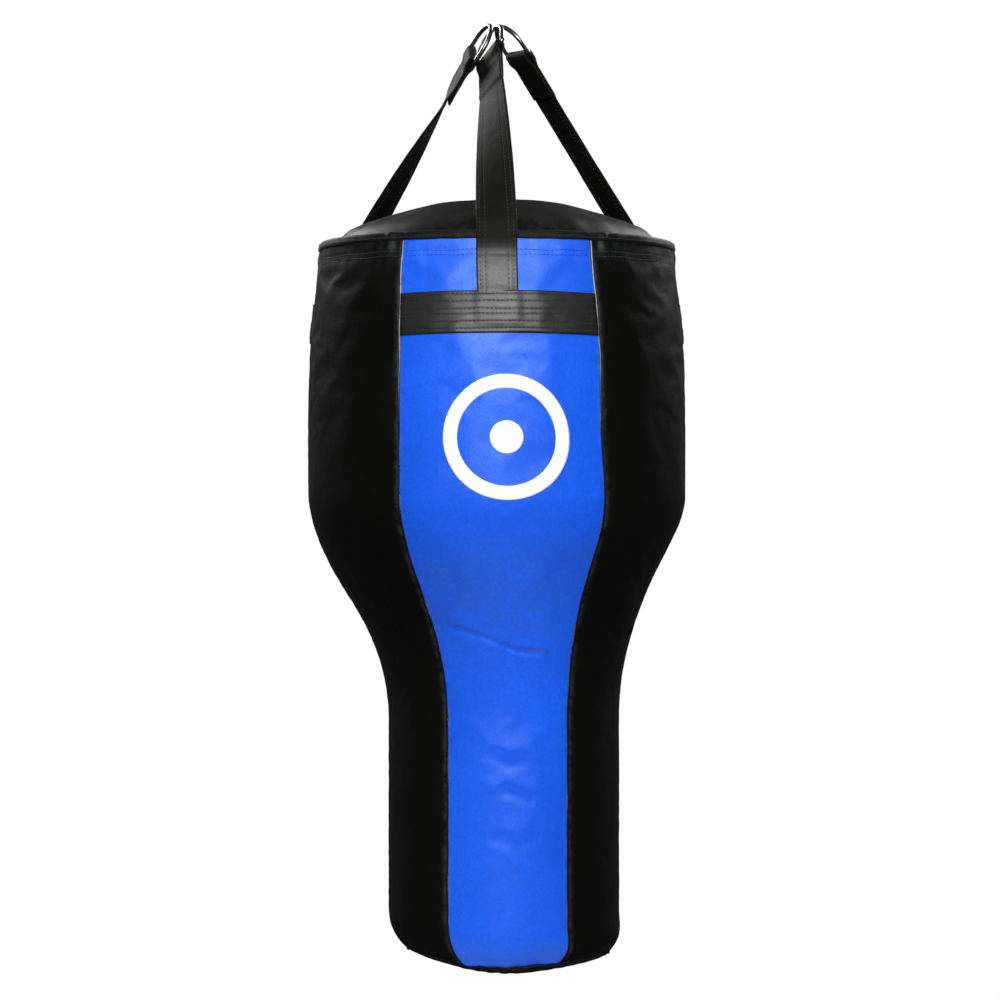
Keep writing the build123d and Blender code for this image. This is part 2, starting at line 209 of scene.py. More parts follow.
def evenly(radii, heights, step, passes=12):
    """An outline at even steps along its length, a little smoothed: distances, radii and heights."""
    keep = np.concatenate([[True], np.hypot(np.diff(radii), np.diff(heights)) > 1e-5])
    radii, heights = radii[keep], heights[keep]
    run = np.concatenate([[0], np.cumsum(np.hypot(np.diff(radii), np.diff(heights)))])
    distances = np.linspace(0, run[-1], int(run[-1] / step) + 1)
    radii, heights = np.interp(distances, run, radii), np.interp(distances, run, heights)
    for _ in range(passes):
        radii[1:-1] = (radii[:-2] + 2 * radii[1:-1] + radii[2:]) / 4
        heights[1:-1] = (heights[:-2] + 2 * heights[1:-1] + heights[2:]) / 4
    return distances, radii, heights


wall_down, wall_radii, wall_heights = evenly(*outer_outline("black_panel_back"), 0.001)
wall_length = wall_down[-1]
wall_slope_r = np.gradient(wall_radii, wall_down)
wall_slope_z = np.gradient(wall_heights, wall_down)


def bell(value, width):
    """A bump of height 1 round zero."""
    return np.exp(-((value / width) ** 2))


def smooth_step(value, start, end):
    """A smooth rise from 0 at the start to 1 at the end, or a fall if the end comes first."""
    share = np.clip((value - start) / (end - start), 0, 1)
    return share * share * (3 - 2 * share)


def unit(vector):
    return vector / np.linalg.norm(vector, axis=-1, keepdims=True)


def run_along(line):
    """Distances along a line of points, from its start."""
    return np.concatenate([[0], np.cumsum(np.linalg.norm(np.diff(line, axis=0), axis=1))])


def read_along(values, run, places):
    """Rows of values read off between the points of a run."""
    return np.stack([np.interp(places, run, values[:, k]) for k in range(values.shape[1])], -1)


def flat_places(across, along):
    """Places on a flat sheet, as points that a noise or a texture can read."""
    return np.stack([across, along, 0 * across], -1)


def round_turn(count, start=0.0):
    """Evenly spread angles once round."""
    return np.linspace(start, start + math.tau, count, endpoint=False)


def down_to(height):
    """Distance down the wall to a height."""
    return np.interp(-np.asarray(height, float), -wall_heights, wall_down)


def radius_at(down):
    """The plain wall's radius at a distance down it."""
    return np.interp(down, wall_down, wall_radii)


# ------ relief of the wall

relief_down = np.linspace(0, wall_length, int(wall_length * relief_rows_per_metre) + 1)
relief_azimuths = -gore_angle / 2 + np.arange(6 * relief_columns) * gore_angle / relief_columns
relief = np.zeros((len(relief_down), len(relief_azimuths)))


def cubic(share):
    """Weights of the four samples round a place, for a smooth curve through them."""
    s2, s3 = share**2, share**3
    return (
        (-s3 + 2 * s2 - share) / 2, (3 * s3 - 5 * s2 + 2) / 2,
        (-3 * s3 + 4 * s2 + share) / 2, (s3 - s2) / 2,
    )


def respaced(azimuth, seam_from, seam_to):
    """Azimuths carried over so that the seams move, from one angle off a blue gore's middle to another."""
    from_blue = (azimuth + gore_angle) % (2 * gore_angle) - gore_angle
    size = np.abs(from_blue)
    inner = size * seam_to / seam_from
    outer = seam_to + (size - seam_from) * (gore_angle - seam_to) / (gore_angle - seam_from)
    return azimuth - from_blue + np.sign(from_blue) * np.where(size < seam_from, inner, outer)


def relief_at(azimuth, down):
    """How far the wall stands out from its plain outline."""
    azimuth = respaced(azimuth, blue_half, gore_angle / 2)
    column = (azimuth - relief_azimuths[0]) / (gore_angle / relief_columns)
    row = np.clip(down / wall_length, 0, 1) * (len(relief_down) - 1)
    column_low, row_low = np.floor(column).astype(int), np.floor(row).astype(int)
    across, along = cubic(column - column_low), cubic(row - row_low)
    total = 0
    for i in range(4):
        rows = np.clip(row_low + i - 1, 0, len(relief_down) - 1)
        for j in range(4):
            columns = (column_low + j - 1) % len(relief_azimuths)
            total = total + relief[rows, columns] * along[i] * across[j]
    return total


def bag_point(azimuth, down, proud=0.0, plain=False):
    """Points on the wall. Past its ends the wall goes straight on."""
    azimuth, down, proud = np.broadcast_arrays(*[np.asarray(x, float) for x in (azimuth, down, proud)])
    inside = np.clip(down, 0, wall_length)
    beyond = down - inside
    slope_r = np.interp(inside, wall_down, wall_slope_r)
    slope_z = np.interp(inside, wall_down, wall_slope_z)
    size = np.hypot(slope_r, slope_z)
    out_r, out_z = -slope_z / size, slope_r / size
    lift = proud + (0 if plain else relief_at(azimuth, inside))
    height = np.interp(inside, wall_down, wall_heights)
    turned, skewed, shift = settle(azimuth, inside, height)
    radius = radius_at(skewed) + rim_pulled(azimuth, inside) + beyond * slope_r / size + lift * out_r
    height = height + beyond * slope_z / size + lift * out_z
    return hung(radius, turned, shift, height)


def hung(radius, azimuth, shift, height):
    """Points round the bag. Its foot leans: the right side hangs lower, as does each blue gore's middle."""
    places = np.stack([radius * np.sin(azimuth) + shift, -radius * np.cos(azimuth), height], -1)
    around = np.arctan2(places[..., 0], -places[..., 1])
    reach = np.hypot(places[..., 0], places[..., 1])
    drop = foot_lean * places[..., 0] * smooth_step(places[..., 2], *lean_zone)
    drop = drop + panel_sag * reach * np.cos(3 * around) * smooth_step(places[..., 2], *sag_zone)
    lobes = np.abs(np.sin(scallops / 2 * around)) - 0.5
    drop = drop + scallop_depth * lobes * reach * smooth_step(places[..., 2], *scallop_zone)
    return places - drop[..., None] * np.array([0, 0, 1])


def rim_pulled(azimuth, down):
    """The wall is drawn in under each strap, most at the rim."""
    return -rim_pull * (0.5 + 0.5 * np.cos(3 * azimuth)) * (1 - smooth_step(down, 0.0, 0.13))


def settle(azimuth, down, height):
    """How the hung bag stands: the azimuth as turned, the wall's place as skewed, and the shift in X."""
    turned = azimuth + drum_turn * smooth_step(down, 0.02, 0.16)
    turned = turned + (leg_turn - drum_turn) * smooth_step(height, *turn_zone)
    askew = taper_skew * bell(height + 0.69, 0.062)
    bowed = bell(height + 0.63, 0.09) * bell(azimuth - gore_angle / 2, 0.45)
    turned = turned + seam_bow * bowed
    turned = turned - foot_gather * np.sin(3 * azimuth) * smooth_step(height, *gather_zone)
    shift = leg_shift * smooth_step(height, *shift_zone) + foot_shift * smooth_step(height, *foot_zone)
    return turned, down + askew * np.sin(turned), shift


def bag_normal(azimuth, down):
    """Outward direction of the plain wall."""
    return bag_point(azimuth, down, 1.0, plain=True) - bag_point(azimuth, down, 0.0, plain=True)


def noise_at(points, scale, seed):
    """Smooth noise from -1 to 1 at an array of points."""
    shift = Vector((seed * 7.31, seed * 3.17, seed * 11.9))
    flat = points.reshape(-1, 3)
    values = [noise.noise(Vector(place) * scale + shift) for place in flat.tolist()]
    return np.array(values).reshape(points.shape[:-1])


# ------ mesh building


def link(name, mesh):
    """An object for a mesh, put into the scene."""
    piece = bpy.data.objects.new(name, mesh)
    scene.collection.objects.link(piece)
    return piece


def solid(name, points, faces, materials, face_materials=None, attributes=None):
    """A smooth-shaded mesh object from points and faces."""
    mesh = bpy.data.meshes.new(name)
    mesh.from_pydata(np.asarray(points).reshape(-1, 3).tolist(), [], faces)
    for material in materials:
        mesh.materials.append(material)
    if face_materials is not None:
        mesh.polygons.foreach_set("material_index", np.asarray(face_materials, np.int32))
    mesh.polygons.foreach_set("use_smooth", np.ones(len(mesh.polygons), bool))
    for key, values in (attributes or {}).items():
        values = np.asarray(values, np.float32)
        kind = "FLOAT_VECTOR" if values.ndim == 2 else "FLOAT"
        layer = mesh.attributes.new(key, kind, "POINT")
        layer.data.foreach_set("vector" if values.ndim == 2 else "value", values.ravel())
    mesh.update()
    return link(name, mesh)


def vertex_values(mesh, key):
    """The places or normals of a mesh's vertices, as rows of three."""
    values = np.empty(len(mesh.vertices) * 3)
    mesh.vertices.foreach_get(key, values)
    return values.reshape(-1, 3)


def grid_faces(rows, columns, first=0, flip=False, wrap=False):
    """Quads over a grid of points numbered row by row."""
    faces = []
    across = columns if wrap else columns - 1
    for row in range(rows - 1):
        for column in range(across):
            right = (column + 1) % columns
            a = first + row * columns + column
            b = first + row * columns + right
            c, d = b + columns, a + columns
            faces.append((a, b, c, d) if flip else (d, c, b, a))
    return faces


def join_bag(piece, slot_name, *nodes, fill=None):
    """Makes a piece part of the bag's body and hides the CAD nodes that it stands for. Its slot's name is not
    used.
    """
    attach(piece, "bag")
    if nodes:
        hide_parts(*nodes)


def doubled(attributes, count):
    """A sheet's attributes, for the points of its outer and then its inner face."""
    return {key: np.concatenate([values.reshape(count, -1)] * 2).squeeze()
            for key, values in (attributes or {}).items()}


def slab(name, outer, inner, materials, attributes=None, wrap=False):
    """A closed sheet between two grids of points, outer and inner."""
    rows, columns = outer.shape[:2]
    count = rows * columns
    faces = grid_faces(rows, columns, 0, False, wrap) + grid_faces(rows, columns, count, True, wrap)
    edge = []
    if wrap:
        for column in range(columns):
            right = (column + 1) % columns
            edge.append((column, right, count + right, count + column))
            low = (rows - 1) * columns
            edge.append((low + right, low + column, count + low + column, count + low + right))
    else:
        loop = list(range(columns)) + [row * columns + columns - 1 for row in range(1, rows)]
        loop += [(rows - 1) * columns + column for column in range(columns - 2, -1, -1)]
        loop += [row * columns for row in range(rows - 2, 0, -1)]
        for here, there in zip(loop, loop[1:] + loop[:1]):
            edge.append((here, there, count + there, count + here))
    points = np.concatenate([outer.reshape(-1, 3), inner.reshape(-1, 3)])
    return solid(name, points, faces + edge, materials, attributes=doubled(attributes, count))


def disc(name, outer, inner, materials, attributes=None):
    """A closed round sheet between two grids whose rows are rings, the last one round the middle."""
    rows, columns = outer.shape[:2]
    count, low = rows * columns, (rows - 1) * columns
    faces = grid_faces(rows, columns, 0, False, True) + grid_faces(rows, columns, count, True, True)
    for column in range(columns):
        right = (column + 1) % columns
        faces.append((column, right, count + right, count + column))
    faces.append(tuple(low + column for column in range(columns - 1, -1, -1)))
    faces.append(tuple(count + low + column for column in range(columns)))
    points = np.concatenate([outer.reshape(-1, 3), inner.reshape(-1, 3)])
    return solid(name, points, faces, materials, attributes=doubled(attributes, count))


def band_faces(rings, across, first=0, closed=False):
    """Quads over a row of closed rings, with a flat face over each end unless the row is closed."""
    faces = []
    for ring in range(rings if closed else rings - 1):
        here, there = first + ring * across, first + (ring + 1) % rings * across
        for side in range(across):
            after = (side + 1) % across
            faces.append((here + side, here + after, there + after, there + side))
    if not closed:
        faces.append(tuple(first + side for side in range(across - 1, -1, -1)))
        last = first + (rings - 1) * across
        faces.append(tuple(last + side for side in range(across)))
    return faces


def stitch_mesh(line, normals, first=0):
    """Points and faces of a row of stitches along a line of points lying on a surface."""
    run = run_along(line)
    pitch = stitch_length + stitch_gap
    count = int(run[-1] / pitch)
    shares = np.array([0.0, 0.18, 0.5, 0.82, 1.0])
    lifts = np.array([-1.0, 0.35, 0.7, 0.35, -1.0])
    places = run[-1] / count * np.arange(count)[:, None] + shares * stitch_length
    centre, up = read_along(line, run, places), unit(read_along(normals, run, places))
    ahead = unit(np.gradient(centre, axis=1))
    side = np.cross(ahead, up)
    centre = centre + up * (lifts * thread_radius)[:, None]
    turns = np.arange(6) * math.tau / 6
    ring = (
        side[:, :, None] * np.cos(turns)[:, None] + up[:, :, None] * np.sin(turns)[:, None]
    ) * thread_radius
    points = (centre[:, :, None] + ring).reshape(-1, 3)
    faces = []
    for stitch in range(count):
        faces += band_faces(len(shares), 6, first + stitch * len(shares) * 6)
    return points, faces


def stitching(name, lines, material, slot_name):
    """A piece of one or more rows of stitches. Each line is a pair: points and normals."""
    points, faces = [], []
    for line, normals in lines:
        more, more_faces = stitch_mesh(line, normals, sum(len(p) for p in points))
        points.append(more)
        faces += more_faces
    piece = solid(name, np.concatenate(points), faces, [material])
    join_bag(piece, slot_name)


# ------ materials


class Surface:
    """A principled material whose nodes are added by short calls."""

    def __init__(self, name, **sockets):
        self.material = bpy.data.materials.new(name)
        self.material.use_nodes = True
        self.tree = self.material.node_tree
        self.shader = self.tree.nodes["Principled BSDF"]
        self.set(sockets)

    def set(self, sockets):
        for key, value in sockets.items():
            self.put(self.shader, key.replace("_", " "), value)

    def put(self, node, key, value):
        if isinstance(value, bpy.types.NodeSocket):
            self.tree.links.new(value, node.inputs[key])
        else:
            node.inputs[key].default_value = value

    def add(self, kind, output=0, settings=None, **inputs):
        """A node and its chosen output. Inputs are named by number, as i0, or by name."""
        node = self.tree.nodes.new("ShaderNode" + kind)
        for key, value in (settings or {}).items():
            setattr(node, key, value)
        for key, value in inputs.items():
            self.put(node, int(key[1:]) if key[0] == "i" and key[1:].isdigit() else key, value)
        return node.outputs[output]

    def places(self, attribute=None, scale=(1, 1, 1)):
        """Where a point lies: in the row frame, or by one of the mesh's own attributes."""
        if attribute:
            source = self.add("Attribute", "Vector", {"attribute_name": attribute})
        else:
            source = self.add("TexCoord", "Object")
        return self.add("Mapping", 0, None, Vector=source, Scale=scale)

    def attribute(self, name):
        """A number that the mesh carries at each of its points."""
        return self.add("Attribute", "Fac", {"attribute_name": name})

    def noise(self, places, scale, detail=3.0, roughness=0.6):
        return self.add("TexNoise", 0, None, Vector=places, Scale=scale, Detail=detail, Roughness=roughness)

    def wave(self, places, direction, scale, distortion, **inputs):
        return self.add("TexWave", 1, {"bands_direction": direction}, Vector=places, Scale=scale,
                        Distortion=distortion, **inputs)

    def pebbles(self, places, scale=620.0):
        return self.add("TexVoronoi", "Distance", {"feature": "SMOOTH_F1"}, Vector=places, Scale=scale)

    def plus(self, a, b):
        return self.add("Math", 0, {"operation": "ADD"}, i0=a, i1=b)

    def times(self, a, b):
        return self.add("Math", 0, {"operation": "MULTIPLY"}, i0=a, i1=b)

    def spread(self, value, low, high, to_low=0.0, to_high=1.0):
        """A value's range carried over to another, with its ends held."""
        return self.add("MapRange", 0, None, Value=value, **{
            "From Min": low, "From Max": high, "To Min": to_low, "To Max": to_high})

    def mix(self, share, a, b, blend="MIX"):
        """Two colours mixed."""
        node = self.tree.nodes.new("ShaderNodeMix")
        node.data_type = "RGBA"
        node.blend_type = blend
        for socket, value in zip((node.inputs[0], node.inputs[6], node.inputs[7]), (share, a, b)):
            if isinstance(value, bpy.types.NodeSocket):
                self.tree.links.new(value, socket)
            else:
                socket.default_value = value
        return node.outputs[2]

    def vary(self, pattern, colour, low, high):
        """A colour that goes from darker to lighter with a pattern."""
        return self.mix(self.spread(pattern, 0.3, 0.7), shade(colour, low), shade(colour, high))

    def bump(self, height, strength, distance, before=None):
        inputs = {"Height": height, "Strength": strength, "Distance": distance}
        if before is not None:
            inputs["Normal"] = before
        return self.add("Bump", 0, None, **inputs)

    def finish(self, colour, rough, skin=None, **sockets):
        """Links the last nodes to the shader."""
        sockets.update(Base_Color=colour, Roughness=rough)
        if skin is not None:
            sockets["Normal"] = skin
        self.set(sockets)
        return self.material


def shade(colour, factor):
    """A colour made lighter or darker, with its alpha."""
    return tuple(min(1.0, part * factor) for part in colour[:3]) + (1.0,)


def vinyl(name, colour, low, high, shine, rough_low, rough_high, tint=(1, 1, 1, 1)):
    """Coated cloth: a pebbled skin over a plain weave, mottled, and paler where it is rubbed.

    Its colour goes from low to high times the one given, and tint colours its shine.
    """
    s = Surface(name, Specular_IOR_Level=shine, Specular_Tint=tint, IOR=1.45)
    places = s.places()
    broad = s.noise(places, 7.0, 4.0)
    mottle = s.noise(places, 240.0, 3.0, 0.7)
    pebble = s.pebbles(places)
    fine = s.noise(places, 1500.0, 2.0)
    weave_a = s.wave(places, "Z", 210.0, 0.6)
    weave_b = s.wave(places, "X", 210.0, 0.6)
    weave = s.times(weave_a, weave_b)
    rubbed = s.attribute("wear")
    patchy = s.times(rubbed, s.spread(s.noise(places, 90.0), 0.35, 0.7))
    tone = s.vary(broad, colour, low, high)
    tone = s.mix(s.spread(mottle, 0.35, 0.68, 0.0, 0.6), tone, shade(colour, low * 0.72))
    tone = s.mix(s.spread(pebble, 0.45, 0.85, 0.0, 0.3), tone, shade(colour, low * 0.6))
    pale = shade([part + more for part, more in zip(colour, (0.08, 0.09, 0.1))], 1.2)
    tone = s.mix(s.times(patchy, 0.35), tone, pale)
    rough = s.spread(s.plus(mottle, s.times(broad, 0.6)), 0.5, 1.1, rough_low, rough_high)
    rough = s.plus(rough, s.times(patchy, 0.12))
    skin = s.bump(pebble, 0.22, 0.0006)
    skin = s.bump(weave, 0.10, 0.0004, skin)
    skin = s.bump(fine, 0.10, 0.0003, skin)
    return s.finish(tone, rough, skin)


def strap_vinyl(name, colour):
    """Folded, coated strap cloth: a fine twill along the strap and fibres that catch the light."""
    s = Surface(name)
    places = s.places("lay")
    broad = s.noise(places, 35.0, 4.0)
    mottle = s.noise(places, 420.0, 3.0, 0.7)
    twill = s.wave(places, "DIAGONAL", 150.0, 1.2, **{"Detail": 2.0, "Detail Scale": 3.0})
    across = s.wave(places, "Y", 190.0, 0.8)
    rubbed = s.attribute("wear")
    patchy = s.times(rubbed, s.spread(mottle, 0.35, 0.65))
    tone = s.vary(broad, colour, 0.8, 1.25)
    tone = s.mix(s.spread(twill, 0.2, 0.9, 0.0, 0.4), tone, shade(colour, 0.55))
    tone = s.mix(s.times(patchy, 0.5), tone, shade(colour, 3.5))
    dull = s.attribute("dull")
    rough = s.plus(s.spread(mottle, 0.3, 0.7, 0.39, 0.49), s.times(dull, 0.22))
    skin = s.bump(twill, 0.09, 0.0004)
    skin = s.bump(across, 0.06, 0.0003, skin)
    skin = s.bump(mottle, 0.05, 0.0004, skin)
    return s.finish(tone, rough, skin,
                    Specular_IOR_Level=s.spread(dull, 0, 1, 1.0, 0.14))


def binding_cloth(name, colour):
    """Folded tape with a ribbed weave."""
    s = Surface(name, Specular_IOR_Level=0.3, Sheen_Weight=0.02, Sheen_Roughness=0.5)
    places = s.places()
    broad = s.noise(places, 22.0, 4.0)
    mottle = s.noise(places, 300.0, 3.0, 0.7)
    ribs = s.wave(places, "Z", 240.0, 1.0)
    tone = s.vary(broad, colour, 0.75, 1.5)
    tone = s.mix(s.spread(mottle, 0.4, 0.7, 0.0, 0.5), tone, shade(colour, 0.5))
    skin = s.bump(s.plus(ribs, mottle), 0.3, 0.0004)
    rough = s.spread(mottle, 0.3, 0.7, 0.5, 0.68)
    return s.finish(tone, rough, skin)


def piping_vinyl(name, colour, pale):
    """Seam piping: dark cord cloth whose cut edge shows its pale backing where the mesh says so; where that
    paleness fades down the wall, it is painted highlight.
    """
    s = Surface(name, Specular_IOR_Level=0.25)
    places = s.places()
    mottle = s.noise(places, 420.0, 3.0, 0.7)
    patches = s.noise(places, 70.0, 3.0)
    backing_and_highlight_share = s.attribute("pale")
    # The pale share is part pale backing, part painted highlight.
    share = s.times(backing_and_highlight_share, s.spread(patches, 0.3, 0.5, 0.55, 1.0))
    tone = s.vary(mottle, colour, 0.8, 1.3)
    backing = s.vary(mottle, pale, 0.75, 1.1)
    skin = s.bump(mottle, 0.3, 0.0004)
    rough = s.spread(mottle, 0.3, 0.7, 0.42, 0.6)
    return s.finish(s.mix(share, tone, backing), rough, skin)


def thread(name, colour):
    """Polyester thread: a twisted strand, duller where it lies in the cloth."""
    s = Surface(name, Specular_IOR_Level=0.35, Sheen_Weight=0.2)
    places = s.places()
    twist = s.wave(places, "DIAGONAL", 900.0, 0.5)
    mottle = s.noise(places, 500.0)
    tone = s.vary(mottle, colour, 0.7, 1.4)
    return s.finish(tone, s.spread(mottle, 0.3, 0.7, 0.5, 0.75), s.bump(twist, 0.4, 0.0002))


def metal(name, colour, rough_low, rough_high):
    """Drawn and plated metal: fine scratches, smears and darker worn spots."""
    s = Surface(name, Metallic=1.0)
    places = s.places()
    smear = s.noise(places, 45.0, 4.0)
    spots = s.noise(places, 260.0, 4.0, 0.7)
    lines = s.noise(s.places(None, (1, 14, 3)), 160.0, 4.0, 0.8)
    tone = s.vary(smear, colour, 0.82, 1.1)
    tone = s.mix(s.spread(spots, 0.56, 0.74, 0.0, 0.6), tone, shade(colour, 0.35))
    rough = s.spread(s.plus(lines, smear), 0.7, 1.3, rough_low, rough_high)
    skin = s.bump(lines, 0.06, 0.0002)
    return s.finish(tone, rough, skin)


def foam(name, colour):
    """Closed-cell foam: small round cells, darker towards their hollow middles as painted shade, and a faint
    yellowing.
    """
    s = Surface(name, Specular_IOR_Level=0.3, Subsurface_Weight=0.05)
    places = s.places()
    cells = s.add("TexVoronoi", "Distance", None, Vector=places, Scale=420.0)
    patches = s.noise(places, 12.0, 4.0)
    yellowed = (colour[0], colour[1] * 0.96, colour[2] * 0.82, 1)
    tone = s.mix(s.spread(patches, 0.3, 0.7), shade(colour, 0.85), yellowed)
    # Painted shade: each cell is darker towards its hollow middle.
    tone = s.mix(s.spread(cells, 0.0, 0.5, 0.35, 0.0), tone, shade(colour, 0.6))
    return s.finish(tone, s.spread(cells, 0, 0.7, 0.95, 0.7), s.bump(cells, 0.5, 0.0006))


def sack_weave(name, colour):
    """Woven polypropylene: flat ribbons crossing over and under."""
    s = Surface(name, Specular_IOR_Level=0.45)
    places = s.places()
    ribs = s.wave(places, "Z", 95.0, 0.4)
    ribbons = s.wave(places, "X", 95.0, 0.4)
    creases = s.noise(places, 30.0, 5.0, 0.7)
    weave = s.times(ribs, ribbons)
    tone = s.mix(weave, shade(colour, 0.7), shade(colour, 1.1))
    tone = s.mix(s.spread(creases, 0.45, 0.75, 0, 0.35), tone, shade(colour, 0.6))
    skin = s.bump(creases, 0.5, 0.003, s.bump(weave, 0.4, 0.0005))
    return s.finish(tone, s.spread(creases, 0.3, 0.7, 0.4, 0.6), skin)


def shredded_cloth(name, colour):
    """Packed textile shreds in several faded colours."""
    s = Surface(name, Specular_IOR_Level=0.2, Sheen_Weight=0.3)
    places = s.places()
    warped = s.add("VectorMath", 0, {"operation": "ADD"}, i0=places,
                   i1=s.add("TexNoise", 1, None, Vector=places, Scale=18.0, Detail=3.0))
    scraps = s.add("TexVoronoi", "Color", None, Vector=warped, Scale=42.0)
    height = s.add("TexVoronoi", "Distance", None, Vector=warped, Scale=42.0)
    tone = s.mix(0.35, shade(colour, 1.0), scraps, "MULTIPLY")
    tone = s.mix(s.spread(height, 0.2, 0.7, 0, 0.6), tone, shade(colour, 0.3))
    return s.finish(tone, s.spread(height, 0, 1, 0.8, 0.95), s.bump(height, 0.8, 0.004))


def print_ink(name, colour):
    """Screen-printed ink on vinyl: nearly white, thin in places, with a few fine cracks."""
    s = Surface(name, Specular_IOR_Level=0.45, Coat_Weight=0.05, Coat_Roughness=0.3)
    places = s.places()
    mottle = s.noise(places, 320.0, 3.0, 0.7)
    broad = s.noise(places, 28.0, 4.0)
    cracks = s.add("TexVoronoi", 0, {"feature": "DISTANCE_TO_EDGE"}, Vector=places, Scale=120.0)
    pebble = s.pebbles(places)
    tone = s.vary(broad, colour, 0.93, 1.0)
    tone = s.mix(s.spread(mottle, 0.55, 0.75, 0, 0.16), tone, (0.45, 0.55, 0.8, 1))
    thin = s.times(s.spread(cracks, 0.0, 0.02, 0.35, 0.0), s.spread(broad, 0.5, 0.65))
    tone = s.mix(thin, tone, (0.2, 0.32, 0.7, 1))
    skin = s.bump(pebble, 0.18, 0.0005)
    return s.finish(tone, s.spread(mottle, 0.3, 0.7, 0.38, 0.52), skin)


blue_vinyl = vinyl("blue_vinyl", (0.007, 0.116, 0.92), 0.82, 1.05, 0.95, 0.36, 0.47, (0.66, 0.90, 1.0, 1))
black_vinyl = vinyl("black_vinyl", (0.0032, 0.0032, 0.0028), 0.8, 1.3, 0.27, 0.36, 0.50)
cover_vinyl = vinyl("cover_vinyl", (0.0042, 0.0042, 0.0032), 0.8, 1.2, 0.14, 0.44, 0.60)
base_vinyl = vinyl("base_vinyl", (0.0045, 0.0042, 0.0042), 0.8, 1.2, 0.30, 0.36, 0.50)
strap_cloth = strap_vinyl("strap_cloth", (0.0065, 0.0065, 0.0058))
belt_cloth = strap_vinyl("belt_cloth", (0.0085, 0.0083, 0.0080))
binding_tape = binding_cloth("binding_tape", (0.0042, 0.0040, 0.0040))
piping_cloth = piping_vinyl("piping_cloth", (0.0060, 0.0060, 0.0062), (0.42, 0.43, 0.46))
black_thread = thread("black_thread", (0.012, 0.012, 0.013))
blue_thread = thread("blue_thread", (0.004, 0.03, 0.30))
ring_steel = metal("ring_steel", (0.40, 0.38, 0.37), 0.24, 0.40)
zip_brass = metal("zip_brass", (0.30, 0.27, 0.22), 0.25, 0.45)
tape_cloth = binding_cloth("tape_cloth", (0.010, 0.010, 0.010))
pad_foam = foam("pad_foam", (0.74, 0.73, 0.69))
sack_cloth = sack_weave("sack_cloth", (0.62, 0.60, 0.54))
textile_scraps = shredded_cloth("textile_scraps", (0.46, 0.44, 0.42))
target_ink = print_ink("target_ink", (0.93, 0.94, 0.96))


# ------ cloth simulation


def inflate(sheets):
    """Cloth sheets held along their edges and blown up a little.

    Each sheet is a name, a grid of points, a pressure and how much larger the cloth is than its place.
    Returns the grids after the last frame.
    """
    made = []
    for name, points, pressure, spare in sheets:
        rows, columns = points.shape[:2]
        sheet = solid(name, points, grid_faces(rows, columns, flip=True), [])
        edge = sheet.vertex_groups.new(name="edge")
        index = np.arange(rows * columns).reshape(rows, columns)
        held = set(index[0]) | set(index[-1]) | set(index[:, 0]) | set(index[:, -1])
        edge.add([int(i) for i in held], 1.0, "REPLACE")
        cloth = sheet.modifiers.new("cloth", "CLOTH")
        cloth.settings.vertex_group_mass = "edge"
        for key, value in cloth_settings.items():
            setattr(cloth.settings, key, value)
        cloth.settings.use_pressure = True
        cloth.settings.uniform_pressure_force = pressure
        cloth.settings.shrink_min = -spare
        cloth.settings.effector_weights.gravity = 0
        cloth.point_cache.frame_start, cloth.point_cache.frame_end = 1, cloth_frames
        made.append(sheet)
    for number in range(1, cloth_frames + 1):
        scene.frame_set(number)
    depsgraph = bpy.context.evaluated_depsgraph_get()
    results = []
    for sheet, (_, points, _, _) in zip(made, sheets):
        mesh = sheet.evaluated_get(depsgraph).to_mesh()
        results.append(vertex_values(mesh, "co").reshape(points.shape))
    for sheet in made:
        mesh = sheet.data
        bpy.data.objects.remove(sheet)
        bpy.data.meshes.remove(mesh)
    scene.frame_set(1)
    return results


# ------ shaping the wall


def gore_sheet(azimuth, seed):
    """A gore's grid on the plain outline, with a small seeded unevenness to start the cloth from."""
    columns = azimuth + np.linspace(-0.5, 0.5, cloth_columns + 1) * gore_angle
    rows = np.linspace(0, wall_length, int(wall_length * cloth_rows_per_metre) + 1)
    azimuths, downs = np.meshgrid(respaced(columns, gore_angle / 2, blue_half), rows)
    plain = bag_point(azimuths, downs, plain=True)
    start = noise_at(plain, 28.0, seed) * 0.0006 + noise_at(plain, 75.0, seed + 9) * 0.0003
    middle = np.minimum(1, 3 * np.sin(np.linspace(0, math.pi, cloth_columns + 1)))
    return bag_point(azimuths, downs, start * middle, plain=True), azimuths, downs


def resample(grid, rows, columns):
    """A grid of values brought to another number of rows and columns."""
    row_places = np.linspace(0, 1, grid.shape[0])
    column_places = np.linspace(0, 1, grid.shape[1])
    wide = np.stack([np.interp(np.linspace(0, 1, columns), column_places, line) for line in grid])
    return np.stack([np.interp(np.linspace(0, 1, rows), row_places, line) for line in wide.T]).T


def fold_line(azimuths, places, points, depth, width):
    """A crease pressed in along a few listed points of azimuth and height, with a soft lip above."""
    lift = np.zeros(azimuths.shape)
    radius = np.hypot(places[..., 0], places[..., 1])
    for (a0, z0), (a1, z1) in zip(points[:-1], points[1:]):
        start, end = np.array([a0, z0]), np.array([a1, z1])
        x = (azimuths - a0) * radius
        z = places[..., 2] - z0
        run = np.array([(end[0] - start[0]) * 0.17, end[1] - start[1]])
        share = np.clip((x * run[0] + z * run[1]) / run.dot(run), 0, 1)
        off_x, off_z = x - share * run[0], z - share * run[1]
        distance = np.hypot(off_x, off_z)
        lift = np.minimum(lift, -depth * bell(distance, width))
        lip = 0.7 * depth * bell(distance - 2.2 * width, 1.6 * width) * (off_z > 0)
        lift = np.where(lift < -0.05 * depth, lift, np.maximum(lift, lip))
    return lift


